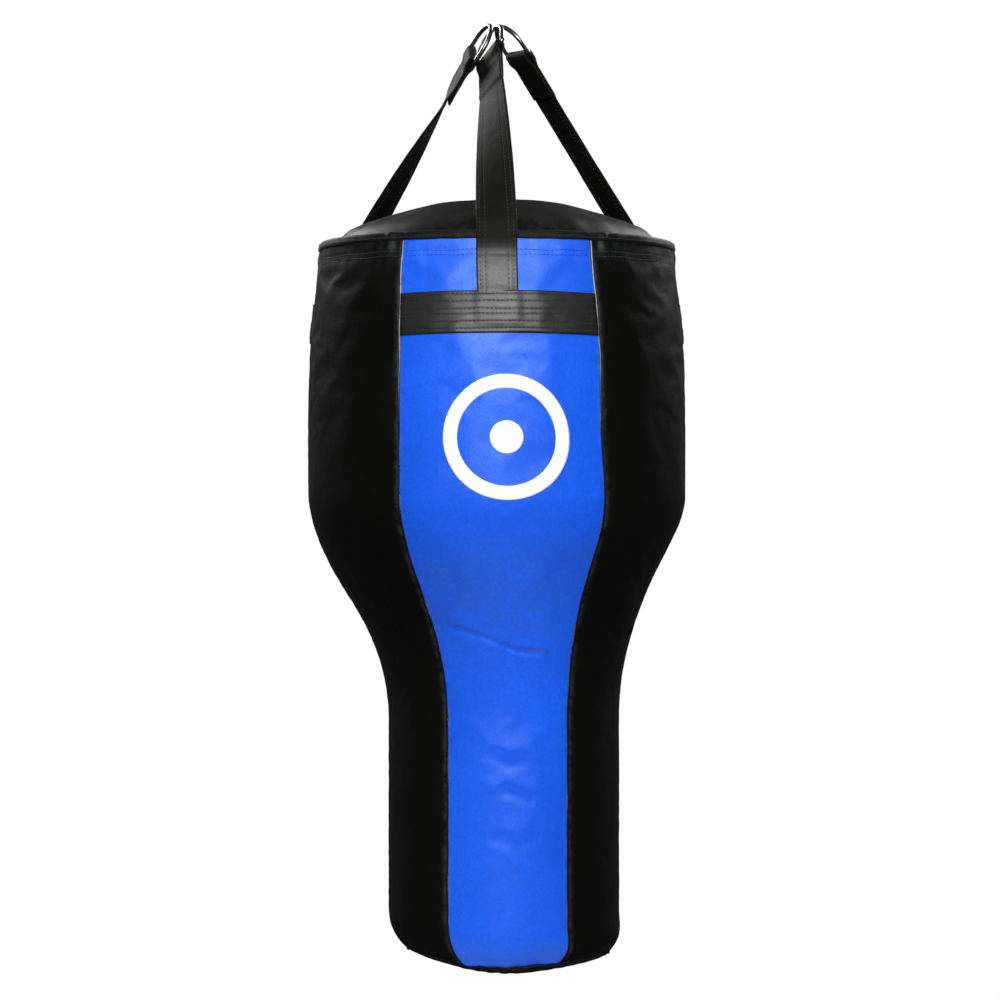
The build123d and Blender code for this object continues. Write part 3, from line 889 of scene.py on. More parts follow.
def shape_wall():
    """Fills the wall's relief: blown gores, then lumps, seams, hem and creases."""
    panels = [gore_sheet(number * gore_angle, number) for number in range(6)]
    sheets = [(f"gore_{n}", grid, 0.55, 0.004) for n, (grid, _, _) in enumerate(panels)]
    grids = inflate(sheets)
    for number, (grid, (_, azimuths, downs)) in enumerate(zip(grids, panels)):
        first = number * relief_columns
        columns = (np.arange(relief_columns + 1) + first) % len(relief_azimuths)
        if grid is None:
            lift = 0.003 * np.sin(np.linspace(0, math.pi, cloth_columns + 1)) + 0 * downs
        else:
            plain = bag_point(azimuths, downs, plain=True)
            lift = ((grid - plain) * bag_normal(azimuths, downs)).sum(-1)
        lift = np.clip(lift, -0.0012, 0.0055)
        relief[:, columns] = resample(lift, len(relief_down), relief_columns + 1)
    azimuths, downs = np.meshgrid(respaced(relief_azimuths, gore_angle / 2, blue_half), relief_down)
    places = bag_point(azimuths, downs, plain=True)
    from_blue = (azimuths + gore_angle) % (2 * gore_angle) - gore_angle
    from_seam = np.abs(np.abs(from_blue) - blue_half) * radius_at(downs)
    relief[:] += noise_at(places, 7.0, 1) * 0.0012 + noise_at(places, 19.0, 2) * 0.0006
    relief[:] *= 1 - drum_calm - (leg_calm - drum_calm) * smooth_step(places[..., 2], *calm_zone)
    relief[:] -= 0.0010 * bell(from_seam, 0.005)
    pucker = noise_at(places * np.array([1, 1, 2.2]), 48.0, 3)
    relief[:] += pucker * 0.0004 * bell(from_seam, 0.014)
    into_black = (np.abs(from_blue) - blue_half) * radius_at(downs)
    tuck = bell(into_black - 0.017 - 0.12 * downs, 0.0045)
    tuck = tuck - 0.6 * bell(into_black - 0.008, 0.004)
    relief[:] += 0.0026 * tuck * bell(downs - 0.017, 0.013)
    hem = bell(downs - 0.030, 0.014)
    folds = noise_at(places * np.array([1, 1, 0.25]), 55.0, 4)
    relief[:] += folds * 0.0011 * hem
    for depth in hem_stitch_depths:
        relief[:] -= 0.0004 * bell(downs - depth, 0.0016)
    for points, depth, width in creases:
        relief[:] += fold_line(azimuths, places, points, depth, width)
    low = bell(wall_length - downs, 0.020)
    relief[:] += noise_at(places * np.array([1, 1, 0.3]), 38.0, 12) * 0.0022 * low


shape_wall()


# ------ panels


def gore_panel(node, material, slot_name, azimuth):
    """One gore: a sheet whose side edges roll into the seams."""
    columns = np.linspace(-1, 1, panel_columns)
    columns = 0.6 * columns + 0.4 * np.sin(columns * math.pi / 2)
    downs = np.linspace(0, wall_length, int(wall_length * panel_rows_per_metre) + 1)[:, None]
    radii = radius_at(downs)
    whole = blue_half if slot_name == "blue_shell" else gore_angle - blue_half
    half = whole - seam_gap / radii
    edge_drops = np.array([-0.0022, -0.0009, -0.0002])  # the side edges roll down into the seams
    edge_steps = np.array([0.0, 0.00015, 0.0006])
    left = -half + edge_steps / radii
    middle = columns * (half - 0.0014 / radii)
    azimuths = azimuth + np.concatenate([left, middle, -left[:, ::-1]], 1)
    drop = np.concatenate([edge_drops, np.zeros(panel_columns), edge_drops[::-1]])
    downs = downs + 0 * azimuths
    outer = bag_point(azimuths, downs, drop)
    inner = bag_point(azimuths, downs, drop * 0.1 - wall_thickness)
    from_edge = np.minimum(azimuths - azimuths[:, :1], azimuths[:, -1:] - azimuths) * radii
    wear = np.maximum(0.8 * bell(from_edge, 0.004), 0.35 * bell(downs, 0.03))
    panel = slab(node, outer, inner, [material], {"wear": wear})
    join_bag(panel, slot_name, node, fill=0.9)


def node_azimuth(node):
    """The azimuth of a gore's middle or a seam: the multiple of 30 degrees nearest to its box's middle."""
    low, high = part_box(node)
    middle = (low + high) / 2
    return round(math.atan2(middle.x, -middle.y) / (gore_angle / 2)) * gore_angle / 2


for node in sorted(frame["nodes"]):
    if node.startswith("blue_panel"):
        gore_panel(node, blue_vinyl, "blue_shell", node_azimuth(node))
    elif node.startswith("black_panel"):
        gore_panel(node, black_vinyl, "black_shell", node_azimuth(node))


# ------ seams, rim and base


def seam_piping(node):
    """A cord in a seam, with a strip of pale backing along its edge on the blue side, faded out down the wall
    as a painted highlight.
    """
    azimuth = node_azimuth(node)
    blue_side = -1 if round(math.degrees(azimuth)) in (30, 150, -90) else 1
    azimuth = azimuth - blue_side * (blue_half - gore_angle / 2)
    downs = np.linspace(down_to(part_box(node)[1].z), wall_length + 0.0005, 420)[:, None]
    turns = round_turn(14)
    wander = 0.0004 * np.sin(downs * 90) + 0.0003 * np.sin(downs * 37 + azimuth)
    across = (np.cos(turns) * piping_half_width + wander) / radius_at(downs)
    points = bag_point(azimuth + across, downs, np.sin(turns) * piping_half_height)
    # Painted highlight: the pale strip is strongest at the rim and fades out down the wall, as the lit seam
    # edge does.
    fade = 1 - smooth_step(downs, 0.07, 0.24)
    pale = (np.cos(turns) * blue_side > 0.35) * fade
    piece = solid(node, points, band_faces(len(downs), len(turns)), [piping_cloth],
                  attributes={"pale": pale.ravel()})
    join_bag(piece, "edge_piping", node)


for number in range(1, 7):
    seam_piping(f"seam_piping_{number}")


def rim_band(node):
    """The binding: tape folded over the panels' top edge, with a stitched edge."""
    low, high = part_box(node)
    azimuths = round_turn(720, -math.pi)[:, None]
    drop = down_to(low.z)
    top = (high.z - low.z) - drop
    reach = 0.0017
    section = np.array([
        (drop, reach * 0.35), (drop - 0.0008, reach), (drop * 0.55, reach * 0.95), (0.001, reach),
        (-top * 0.6, reach * 0.7), (-top, 0.0), (-top * 1.02, -wall_thickness * 0.6),
        (-top, -wall_thickness - 0.0002), (-top * 0.6, -wall_thickness - reach * 0.7),
        (0.001, -wall_thickness - reach), (drop * 0.55, -wall_thickness - reach),
        (drop, -wall_thickness - reach), (drop, -wall_thickness - 0.0003),
        (0.0012, -wall_thickness - 0.0003), (0.0, -wall_thickness * 0.5), (0.0012, 0.0003),
        (drop, 0.0003),
    ])
    ring = bag_point(azimuths, 0 * azimuths + 0.004)
    ripple = noise_at(ring, 60.0, 5) * 0.0005
    lift = relief_at(azimuths, 0 * azimuths + drop)
    downs = section[:, 0] + ripple * (section[:, 0] > drop * 0.9)
    proud = section[:, 1] + ripple * (section[:, 1] > 0) + lift
    points = bag_point(azimuths + 0 * downs, downs, proud, plain=True)
    piece = solid(node, points, band_faces(len(azimuths), len(section), closed=True), [binding_tape])
    join_bag(piece, "binding", node)
    line_downs = 0 * azimuths + drop - binding_stitch_drop
    line = bag_point(azimuths, line_downs, reach + lift, plain=True)[:, 0]
    return line, bag_normal(azimuths, line_downs)[:, 0]


binding_line = rim_band("rim_binding")
stitching("binding_stitching", [binding_line], black_thread, "binding")


def hem_lines(azimuth, half):
    """The two rows that hold the hem, across one gore."""
    rows = []
    for depth in hem_stitch_depths:
        azimuths = azimuth + np.linspace(-half, half, 160)
        downs = 0 * azimuths + depth + 0.0005 * np.sin(azimuths * 23 + depth * 900)
        rows.append((bag_point(azimuths, downs, 0.0001), bag_normal(azimuths, downs)))
    return rows


for number in range(6):
    colour, slot_name = (black_thread, "black_shell") if number % 2 else (blue_thread, "blue_shell")
    rows = hem_lines(number * gore_angle, gore_angle / 2 - 0.012)
    stitching(f"hem_stitching_{number + 1}", rows, colour, slot_name)


def settled(radius, azimuth, height):
    """Where a place inside or under the bag comes to when the bag hangs askew."""
    down = down_to(height)
    turned, skewed, shift = settle(azimuth, down, height)
    radius = radius * (radius_at(skewed) + rim_pulled(azimuth, down)) / radius_at(down)
    return hung(radius, turned, shift, height)


def build_base():
    """The base dish, gathered along the welt, and the welt itself."""
    radii, heights = outer_outline("base_panel", -1.0)
    order = np.argsort(-radii)
    distances, radii, heights = evenly(radii[order], heights[order], 0.003)
    azimuths = round_turn(300, -math.pi)
    azimuth_grid, run = np.meshgrid(azimuths, distances)
    radius_grid = np.interp(run, distances, radii)
    height_grid = np.interp(run, distances, heights)
    plain = settled(radius_grid, azimuth_grid, height_grid)
    gather = noise_at(plain * np.array([1, 1, 0.3]), 45.0, 6) * 0.0016 * np.exp(-run / 0.02)
    sag = 0.0035 * smooth_step(run, 0.0, 0.07)
    lumps = noise_at(plain, 16.0, 7) * 0.0012
    last = int((radius_grid[:, 0] > 0.0015).sum())
    outer = plain[:last].copy()
    outer[..., 2] += (gather - sag + lumps)[:last]
    middle = outer[-1].mean(0)
    inner = outer + (middle - outer) * (wall_thickness / np.maximum(radius_grid[:last], 0.01))[..., None]
    inner[..., 2] = outer[..., 2] + wall_thickness
    wear = np.exp(-run[:last] / 0.004)
    piece = disc("base_panel", outer, inner, [base_vinyl], {"wear": wear})
    join_bag(piece, "black_shell", "base_panel", fill=0.9)
    low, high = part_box("base_welt")
    reach, welt_height = (high.x - low.x) / 2 - 0.0024, (low.z + high.z) / 2
    ring_azimuths = round_turn(480)[:, None]
    turns = round_turn(12)
    wobble = 0.0004 * np.sin(ring_azimuths * 31) + 0.0004 * np.sin(ring_azimuths * 19 + 1)
    radius = reach + np.cos(turns) * welt_radius + 0 * ring_azimuths
    height = welt_height + np.sin(turns) * welt_radius + wobble
    points = settled(radius, ring_azimuths + 0 * turns, height)
    welt = solid("base_welt", points, band_faces(len(ring_azimuths), len(turns), closed=True),
                 [piping_cloth], attributes={"pale": np.zeros(points.shape[0] * points.shape[1])})
    join_bag(welt, "edge_piping", "base_welt")


build_base()


# ------ belts


def build_belt(side, azimuth):
    """A stitched belt across a blue panel, raised over the strap's tail."""
    node = f"belt_{side}"
    low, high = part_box(node)
    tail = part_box(f"strap_sewn_{side}")[0].z

    def on_belt(angles, drops):
        """Where a place on the belt lies on the wall, whether over the strap, and how far it is lifted."""
        heights = high.z + 0.0006 - drops - 0.0018 * (angles / belt_half_angle) ** 2
        downs = down_to(heights)
        across = angles * radius_at(downs)
        aside = np.abs(across - strap_turns[side] * wall_radii[0])
        over = 1 - smooth_step(aside, strap_width / 2 - 0.004, strap_width / 2 + 0.008)
        lift = over * smooth_step(heights, tail - 0.002, tail + 0.010) * strap_lift
        return heights, downs, across, over, lift

    columns = np.linspace(-belt_half_angle, belt_half_angle, 150)
    edge_rows = np.array([0.0, 0.0003, 0.0009, 0.0018])
    width = high.z - low.z
    rows = np.concatenate([edge_rows, np.linspace(0.003, width - 0.003, 64), width - edge_rows[::-1]])
    angles, drops = np.meshgrid(columns, rows)
    heights, downs, across, over, bump = on_belt(angles, drops)
    edge = np.minimum(drops, width - drops)
    rounded = np.sqrt(np.clip(1 - (1 - np.clip(edge / 0.0018, 0, 1)) ** 2, 0, 1))
    channel = sum(bell(drops - drop, 0.0011) for drop in belt_stitch_drops)
    end = smooth_step(belt_half_angle - np.abs(angles), 0.0, 0.02)
    wrinkle = noise_at(flat_places(across, heights), 60.0, 8) * 0.00035
    quilt = 0.00008 * np.cos(across * math.tau / 0.0054) * channel
    full = belt_thickness * (0.55 + 0.45 * end)
    proud = 0.0002 + full * rounded + bump + (wrinkle + quilt - 0.0003 * channel) * rounded
    outer = bag_point(azimuth + angles, downs, proud)
    inner = bag_point(azimuth + angles, downs, np.minimum(proud - 0.0004, 0.0001 + bump * 0.98))
    wear = np.clip(1.0 - edge / 0.003, 0, 1) * 0.7 + 0.25 * over
    lay = flat_places(heights, across)
    dull = 0.5 * smooth_step(np.abs(angles), 0.15, 0.5)
    piece = slab(node, outer, inner, [belt_cloth], {"wear": wear, "lay": lay, "dull": dull})
    join_bag(piece, "webbing", node)
    lines = []
    line_angles = np.linspace(-belt_half_angle * 0.985, belt_half_angle * 0.985, 300)
    for drop in belt_stitch_drops:
        _, line_downs, _, _, line_bump = on_belt(line_angles, drop)
        lines.append((bag_point(azimuth + line_angles, line_downs, belt_thickness - 0.0001 + line_bump),
                      bag_normal(azimuth + line_angles, line_downs)))
    stitching(f"belt_stitching_{side}", lines, black_thread, "webbing")


for side, azimuth in sides.items():
    build_belt(side, azimuth)


# ------ straps


def turn_about(vector, axis, angle):
    """A vector turned about an axis, both arrays of the same length."""
    angle = np.asarray(angle)[..., None]
    return (
        vector * np.cos(angle) + np.cross(axis, vector) * np.sin(angle)
        + axis * (axis * vector).sum(-1, keepdims=True) * (1 - np.cos(angle))
    )


def strap_path(side, azimuth):
    """The strap's middle line from its tail to its sewn end, and what goes with each point of it.

    Returns the points, the directions across and out of the face, the distances run, the share of the
    wall's curve that is left, and the number of points before the loop round the bar.
    """
    hinge = np.array(joints[f"{side}_strap_fold"]["pos_m"])
    bar = np.array(joints[f"{side}_ring_tilt"]["pos_m"])
    azimuth = azimuth + strap_turns[side]
    fold_radius = math.hypot(hinge[0], hinge[1]) - strap_draws[side]
    fold = np.array([fold_radius * math.sin(azimuth), -fold_radius * math.cos(azimuth), hinge[2]])
    along = unit(bar - fold)
    tangent = np.array([math.cos(azimuth), math.sin(azimuth), 0.0])
    plain_across = unit(tangent - along * tangent.dot(along))

    # Up the wall from the tail: under the belt, then over the binding
    tail = down_to(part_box(f"strap_sewn_{side}")[0].z + 0.004)
    over_binding = down_to(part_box("rim_binding")[0].z)
    half = strap_thickness / 2
    downs = np.linspace(tail, 0.001, wall_steps)
    lift = half + 0.0002 + 0.0019 * (1 - smooth_step(downs, over_binding - 0.001, over_binding + 0.020))
    belt_top = down_to(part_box(f"belt_{side}")[1].z)
    lift = lift - 0.0015 * smooth_step(downs, belt_top + 0.001, belt_top + 0.010)
    on_wall = bag_point(azimuth + 0 * downs, downs, lift)

    # Over the rim, on a smooth curve
    leave = fold + along * 0.030
    start, start_way = on_wall[-1], unit(on_wall[-1] - on_wall[-3])
    reach = np.linalg.norm(leave - start) * 0.45
    shares = np.linspace(0, 1, 22)[1:, None]
    bend = ((1 - shares) ** 3 * start + 3 * (1 - shares) ** 2 * shares * (start + start_way * reach)
            + 3 * (1 - shares) * shares**2 * (leave - along * reach) + shares**3 * leave)

    # Up to the ring, twisting, and set aside by the end that is sewn back on it
    eye = bar_radius + eye_clearance + half
    free = np.linalg.norm(bar - fold)
    offset_from = free - sewn_length
    runs = np.linspace(0.030, free - eye * 1.5, 90)[1:]
    face = unit(np.cross(plain_across, along))
    if face.dot(bag_normal(np.array([azimuth]), np.array([0.0]))[0]) < 0:
        face = -face
    aside = half * smooth_step(runs, offset_from - 0.004, offset_from + 0.004)
    aside = aside + (eye - half) * smooth_step(runs, free - 0.020, free - eye * 1.2)
    twist = math.radians(strap_twists[side])

    def turned(run):
        share = np.clip(run / (free * twist_reach[side]), 0, 1)
        return twist * share ** twist_growth[side]

    across_free = turn_about(plain_across + 0 * runs[:, None], along, turned(runs))
    face_free = turn_about(face + 0 * runs[:, None], along, turned(runs))
    going = fold + along * runs[:, None] + face_free * aside[:, None]

    # Round the bar and back
    face_end = turn_about(face, along, twist)
    across_end = turn_about(plain_across, along, twist)
    turns = np.linspace(0, math.pi, 14)[1:-1][:, None]
    loop = bar + eye * (face_end * np.cos(turns) + along * np.sin(turns))
    back = np.linspace(free - eye * 1.5, offset_from, 26)
    aside_back = half + (eye - half) * smooth_step(back, free - 0.020, free - eye * 1.2)
    returning = fold + along * back[:, None] - face_end * aside_back[:, None]

    middle = np.concatenate([on_wall, bend, going, loop, returning])
    ahead = unit(np.gradient(middle, axis=0))
    across = np.concatenate([
        tangent + 0 * on_wall, tangent + 0 * bend, across_free,
        across_end + 0 * loop, across_end + 0 * returning,
    ])
    across = unit(across - ahead * (across * ahead).sum(-1, keepdims=True))
    faces = np.cross(across, ahead)
    if faces[0].dot(bag_normal(np.array([azimuth]), np.array([0.1]))[0]) < 0:
        faces = -faces
    run = run_along(middle)
    curved = 1 - smooth_step(run, run[len(on_wall) - 6], run[len(on_wall) + 14])
    return middle, across, faces, run, curved, len(on_wall) + len(bend) + len(going)


def build_strap(side, azimuth):
    """One strap from its tail on the panel, over the rim and round the ring's bar, with its stitches."""
    middle, across, faces, run, curved, loop_start = strap_path(side, azimuth)
    half_width, half, edge_round = strap_width / 2, strap_thickness / 2, 0.0016
    flat = np.linspace(-half_width + edge_round, half_width - edge_round, 27)
    turns = np.linspace(math.pi / 2, -math.pi / 2, 6)[1:-1]
    right = half_width - edge_round + edge_round * np.cos(turns)
    section_x = np.concatenate([flat, right, flat[::-1], -right[::-1]])
    section_y = np.concatenate([0 * flat + half, half * np.sin(turns), 0 * flat - half, -half * np.sin(turns)])
    dips = sum(bell(section_x - x, 0.0009) for x in strap_stitches)
    section_y = section_y - np.sign(section_y) * stitch_dip * dips * (np.abs(section_y) > half * 0.9)
    narrow = 1 + 0.010 * noise_at(flat_places(run, 0 * run), 16.0, 21 + len(side))
    sag = section_x**2 / (2 * radius_at(0.05)) * curved[:, None]
    lay = flat_places(run[:, None] + 0 * section_x, section_x + 0 * run[:, None])
    ripple = noise_at(lay, 90.0, 31 + len(side)) * 0.00022
    points = (middle[:, None] + across[:, None] * (section_x * narrow[:, None])[..., None]
              + faces[:, None] * (section_y - sag + ripple)[..., None])
    from_flat = np.abs(section_x) - (half_width - edge_round)
    wear = 0.8 * np.clip(from_flat / edge_round, 0, 1) + 0 * run[:, None]
    count = len(section_x)
    strap_faces = band_faces(len(middle), count)
    all_points, thread_faces = [points.reshape(-1, 3)], []
    limit = loop_start - 6
    for x in strap_stitches:
        for face_side in (1, -1):
            lines = slice(0 if face_side == 1 else wall_steps + 2, limit)
            lift = (half - stitch_dip) * face_side
            line_sag = x**2 / (2 * radius_at(0.05)) * curved
            line = middle + across * (x * narrow)[:, None] + faces * (lift - line_sag)[:, None]
            first = sum(len(part) for part in all_points)
            more, more_faces = stitch_mesh(line[lines], faces[lines] * face_side, first)
            all_points.append(more)
            thread_faces += more_faces
    at_rim = run[wall_steps - 1]
    dull = np.repeat(smooth_step(run, at_rim - 0.034, at_rim - 0.006), count)
    threads = sum(len(part) for part in all_points[1:])
    attributes = {"wear": np.append(wear, np.zeros(threads)), "dull": np.append(dull, np.zeros(threads)),
                  "lay": np.concatenate([lay.reshape(-1, 3), np.zeros((threads, 3))])}
    face_materials = [0] * len(strap_faces) + [1] * len(thread_faces)
    piece = solid(f"strap_{side}", np.concatenate(all_points), strap_faces + thread_faces,
                  [strap_cloth, black_thread], face_materials, attributes)
    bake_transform(piece)
    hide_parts(f"strap_sewn_{side}", f"strap_{side}")


for side, azimuth in sides.items():
    build_strap(side, azimuth)


# ------ top cover and zip


crown = np.array(joints["zip_travel"]["pos_m"])
zip_axis = np.array(joints["zip_travel"]["axis"])
cover_down, cover_radii, cover_heights = evenly(*outer_outline("top_cover_front", crown[2]), 0.001, 150)
cover_slope_r = np.gradient(cover_radii, cover_down)
cover_slope_z = np.gradient(cover_heights, cover_down)
slot_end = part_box("zip_chain")[1].x + 0.004
slot_half = 0.0075
seam_corner = math.radians(14)
rim_height = wall_heights[0]


def cover_point(flat, lift=0.0):
    """A point of the dome from its place on the flattened cover: distance and direction from the apex."""
    away = np.maximum(np.linalg.norm(flat, axis=-1), 1e-9)
    out_r, out_z = -np.interp(away, cover_down, cover_slope_z), np.interp(away, cover_down, cover_slope_r)
    size = np.hypot(out_r, out_z)
    radius = np.interp(away, cover_down, cover_radii) + lift * out_r / size
    height = np.interp(away, cover_down, cover_heights) + lift * out_z / size
    return np.concatenate([flat / away[..., None] * radius[..., None], height[..., None]], -1)


def seam_line(count):
    """The line where the cover's halves meet, on the flattened cover, from left to right."""
    lean = -zip_axis[2] / zip_axis[1]
    behind = (cover_heights - crown[2]) * lean
    beyond = cover_radii > behind
    aside = np.sqrt(cover_radii[beyond] ** 2 - behind[beyond] ** 2)
    share = cover_down[beyond] / cover_radii[beyond]
    right = np.stack([aside * share, behind[beyond] * share], -1)
    line = np.concatenate([right[::-1] * [-1, 1], right])
    run = run_along(line)
    return read_along(line, run, np.linspace(0, run[-1], count))


def half_cover(front, rows, columns):
    """A grid over one half of the flattened cover, from the seam or the zip's slot out to its rim."""
    seam = seam_line(columns)
    turn = -1 if front else 1
    opened = slot_half * (1 - smooth_step(np.abs(seam[:, 0]), slot_end - 0.004, slot_end + 0.008))
    near = seam + np.stack([0 * opened, turn * (opened + 0.0004)], -1)
    reach = cover_down[-1]
    left = math.atan2(near[0, 0], turn * near[0, 1])
    right = math.atan2(near[-1, 0], turn * near[-1, 1])

    def on_rim(angle):
        return np.stack([reach * np.sin(angle), turn * reach * np.cos(angle)], -1)

    u, v = np.linspace(0, 1, columns)[None, :, None], np.linspace(0, 1, rows)[:, None, None]
    far = on_rim(np.linspace(left + seam_corner, right - seam_corner, columns))
    edge_left = on_rim(np.linspace(left, left + seam_corner, rows))
    edge_right = on_rim(np.linspace(right, right - seam_corner, rows))
    edge_left[0], edge_right[0] = near[0], near[-1]
    flat = (
        (1 - v) * near[None] + v * far[None] + (1 - u) * edge_left[:, None] + u * edge_right[:, None]
        - (1 - u) * (1 - v) * near[0] - u * (1 - v) * near[-1] - (1 - u) * v * far[0] - u * v * far[-1]
    )
    return flat


def build_covers():
    """The dome's two halves: blown up a little, puckered round the rim and along the zip."""
    halves = [half_cover(True, 52, 110), half_cover(False, 36, 110)]
    blown = inflate([(f"dome_{n}", cover_point(flat), 0.9, 0.006) for n, flat in enumerate(halves)])
    for name, flat, grid in zip(("top_cover_front", "top_cover_back"), halves, blown):
        plain = cover_point(flat)
        outward = cover_point(flat, 1.0) - plain
        lift = np.clip(((grid - plain) * outward).sum(-1), -0.0015, 0.0060)
        away = np.linalg.norm(flat, axis=-1)
        from_zip = np.linalg.norm(flat - flat[:1], axis=-1)
        shoulder = bell(away - cover_down[-1] * 0.83, 0.045)
        ring = flat / np.maximum(away, 1e-6)[..., None]
        rays = noise_at(np.concatenate([ring * 0.2, away[..., None] * 0.25], -1), 42.0, 14)
        lift = lift + rays * 0.0030 * shoulder
        lift = lift + noise_at(plain, 11.0, 15) * 0.0022 + noise_at(plain, 34.0, 16) * 0.0007
        gather = noise_at(plain * np.array([1, 0.3, 1]), 70.0, 17) * 0.0008
        lift = lift + gather * bell(from_zip, 0.02)
        lift = lift - 0.0014 * bell(from_zip, 0.0022)
        behind_wall = 1 - smooth_step(plain[..., 2], rim_height + 0.022, rim_height - 0.002)
        lift = lift * behind_wall - 0.0030 * (1 - behind_wall)
        wear = np.maximum(0.6 * bell(from_zip, 0.003), 0.3 * shoulder)
        piece = slab(name, cover_point(flat, lift), cover_point(flat, lift - wall_thickness),
                     [cover_vinyl], {"wear": wear})
        join_bag(piece, "black_shell", name, fill=0.85)
        lines = []
        turn = -1 if name.endswith("front") else 1
        seam = seam_line(220)
        seam = seam[np.abs(seam[:, 0]) < slot_end + 0.006]
        for inset in (0.0030, 0.0085):
            line = seam + np.array([0, turn * (slot_half + inset)])
            gaps = np.linalg.norm(flat[None, :12] - line[:, None, None], axis=-1)
            near = np.argmin(gaps.reshape(len(line), -1), 1)
            raised = lift[:12].reshape(-1)[near]
            raised = np.convolve(np.pad(raised, 3, "edge"), np.ones(7) / 7, "valid")
            base = cover_point(line, raised + 0.0001)
            lines.append((base, cover_point(line, 1.0) - cover_point(line)))
        stitching(name + "_stitching", lines, black_thread, "black_shell")


build_covers()


def build_zip():
    """The chain as single teeth, set from both sides in turn, with a bead along each tape."""
    node = frame["nodes"]["zip_chain"].data
    places = np.array([vertex.co for vertex in node.vertices]) - crown
    reach = np.linalg.norm(places, axis=1)
    low, high = reach.min(), reach.max()
    half_width = np.abs(places @ zip_axis).max()
    end = math.asin(places[:, 0].max() / high)  # half the angle that the chain covers
    upright = unit(np.cross(np.array([1.0, 0, 0]), zip_axis))
    upright = upright * np.sign(upright[2])
    pitch = 0.0021
    count = int(2 * end * high / pitch)
    points, faces = [], []
    corner_signs = np.array([(x, y, z) for z in (0, 1) for y in (0, 1) for x in (-1, 1)], float)
    box = [(0, 1, 3, 2), (4, 6, 7, 5), (0, 4, 5, 1), (2, 3, 7, 6), (0, 2, 6, 4), (1, 5, 7, 3)]
    for number in range(count):
        angle = -end + 2 * end * (number + 0.5) / count
        radial = np.array([math.sin(angle), 0, 0]) + upright * math.cos(angle)
        ahead = np.array([math.cos(angle), 0, 0]) - upright * math.sin(angle)
        side = 1 if number % 2 else -1
        for near, far, tall, long in ((-0.15, 1.0, 0.62, 0.30), (-0.28, 0.18, 0.88, 0.36)):
            base = len(points)
            for x, y, z in corner_signs:
                shrink = 0.82 if z else 1.0
                across = (near + (far - near) * y) * half_width * side
                points.append(crown + radial * (low + z * (high - low) * tall)
                              + ahead * x * pitch * long * shrink + zip_axis * across)
            quads = [tuple(base + k for k in quad) for quad in box]
            faces += quads if side > 0 else [quad[::-1] for quad in quads]
    chain = solid("zip_chain", points, faces, [zip_brass])
    bevel = chain.modifiers.new("bevel", "BEVEL")
    bevel.width, bevel.segments = 0.00022, 2
    join_bag(chain, "zip_metal", "zip_chain")
    beads, bead_faces = [], []
    turns = round_turn(8)
    for side in (-1, 1):
        angles = np.linspace(-end * 1.01, end * 1.01, 120)[:, None, None]
        radial = np.array([1.0, 0, 0]) * np.sin(angles) + upright * np.cos(angles)
        middle = crown + radial * (low + 0.0002) + zip_axis * side * (half_width + 0.0004)
        ring = (np.cos(turns)[:, None] * zip_axis + np.sin(turns)[:, None] * radial) * 0.0007
        bead_faces += band_faces(120, 8, len(beads) * 960)
        beads.append((middle + ring).reshape(-1, 3))
    cords = solid("zip_cords", np.concatenate(beads), bead_faces, [tape_cloth])
    join_bag(cords, "zip_tape")
    for node in ("zip_slider", "zip_pull", "zip_stops"):
        edge = frame["nodes"][node].modifiers.new("bevel", "BEVEL")
        edge.width, edge.segments = 0.0003, 2


build_zip()


# ------ target print


def build_print():
    """A plain ring and dot, printed on the front panel and following its shape."""
    low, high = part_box("target_print")
    centre_z, reach = (low.z + high.z) / 2, (high.z - low.z) / 2
    turns = round_turn(260)
    pieces = []
    for outside, inside in ((reach, reach - ring_width), (dot_radius, 0.0006)):
        rows = np.linspace(outside, inside, 9 if inside > 0.01 else 12)  # the dot is the wider band
        angle, rho = np.meshgrid(turns, rows)
        edge_noise = noise_at(flat_places(np.cos(angle), np.sin(angle)) * rho[..., None], 160.0, 18)
        rho = rho + 0.00018 * edge_noise * ((rho > outside - 1e-4) | (rho < inside + 1e-4))
        downs = down_to(centre_z + rho * np.sin(angle))
        azimuths = np.arcsin(rho * np.cos(angle) / radius_at(downs)) + print_shift / radius_at(downs)
        pieces.append((bag_point(azimuths, downs, print_proud), bag_point(azimuths, downs, 0.00015)))
    ring = slab("target_print", *pieces[0], [target_ink], wrap=True)
    dot = disc("target_dot", *pieces[1], [target_ink])
    for piece in (ring, dot):
        join_bag(piece, "print", "target_print")


build_print()


# ------ padding and filling


def inside_piece(node, material, slot_name, voxel, lumps):
    """A hidden soft piece: its CAD solid as a fine mesh, settled with the bag and made uneven."""
    source = frame["nodes"][node].data
    piece = link(node, source.copy())
    remesh = piece.modifiers.new("remesh", "REMESH")
    remesh.mode, remesh.voxel_size = "VOXEL", voxel
    depsgraph = bpy.context.evaluated_depsgraph_get()
    fine = bpy.data.meshes.new_from_object(piece.evaluated_get(depsgraph))
    piece.modifiers.clear()
    piece.data = fine
    places, normals = vertex_values(fine, "co"), vertex_values(fine, "normal")
    radius, azimuth = np.hypot(places[:, 0], places[:, 1]), np.arctan2(places[:, 0], -places[:, 1])
    downs = down_to(places[:, 2])
    hollow = np.minimum(relief_at(azimuth, downs), 0) - 0.0012
    out = np.clip(np.hypot(normals[:, 0], normals[:, 1]) * 2, 0, 1) * (radius > radius_at(downs) - 0.03)
    out = out * (places[:, 2] < wall_heights[0])
    inward = -normals * ((0.5 + 0.5 * noise_at(places, 24.0, 19)) * lumps)[:, None]
    moved = settled(radius, azimuth, places[:, 2]) + inward
    moved = moved + bag_normal(azimuth, downs) * (hollow * out)[:, None]
    fine.vertices.foreach_set("co", moved.ravel())
    fine.polygons.foreach_set("use_smooth", np.ones(len(fine.polygons), bool))
    fine.materials.clear()
    fine.materials.append(material)
    fine.update()
    join_bag(piece, slot_name, node, fill=0.9)


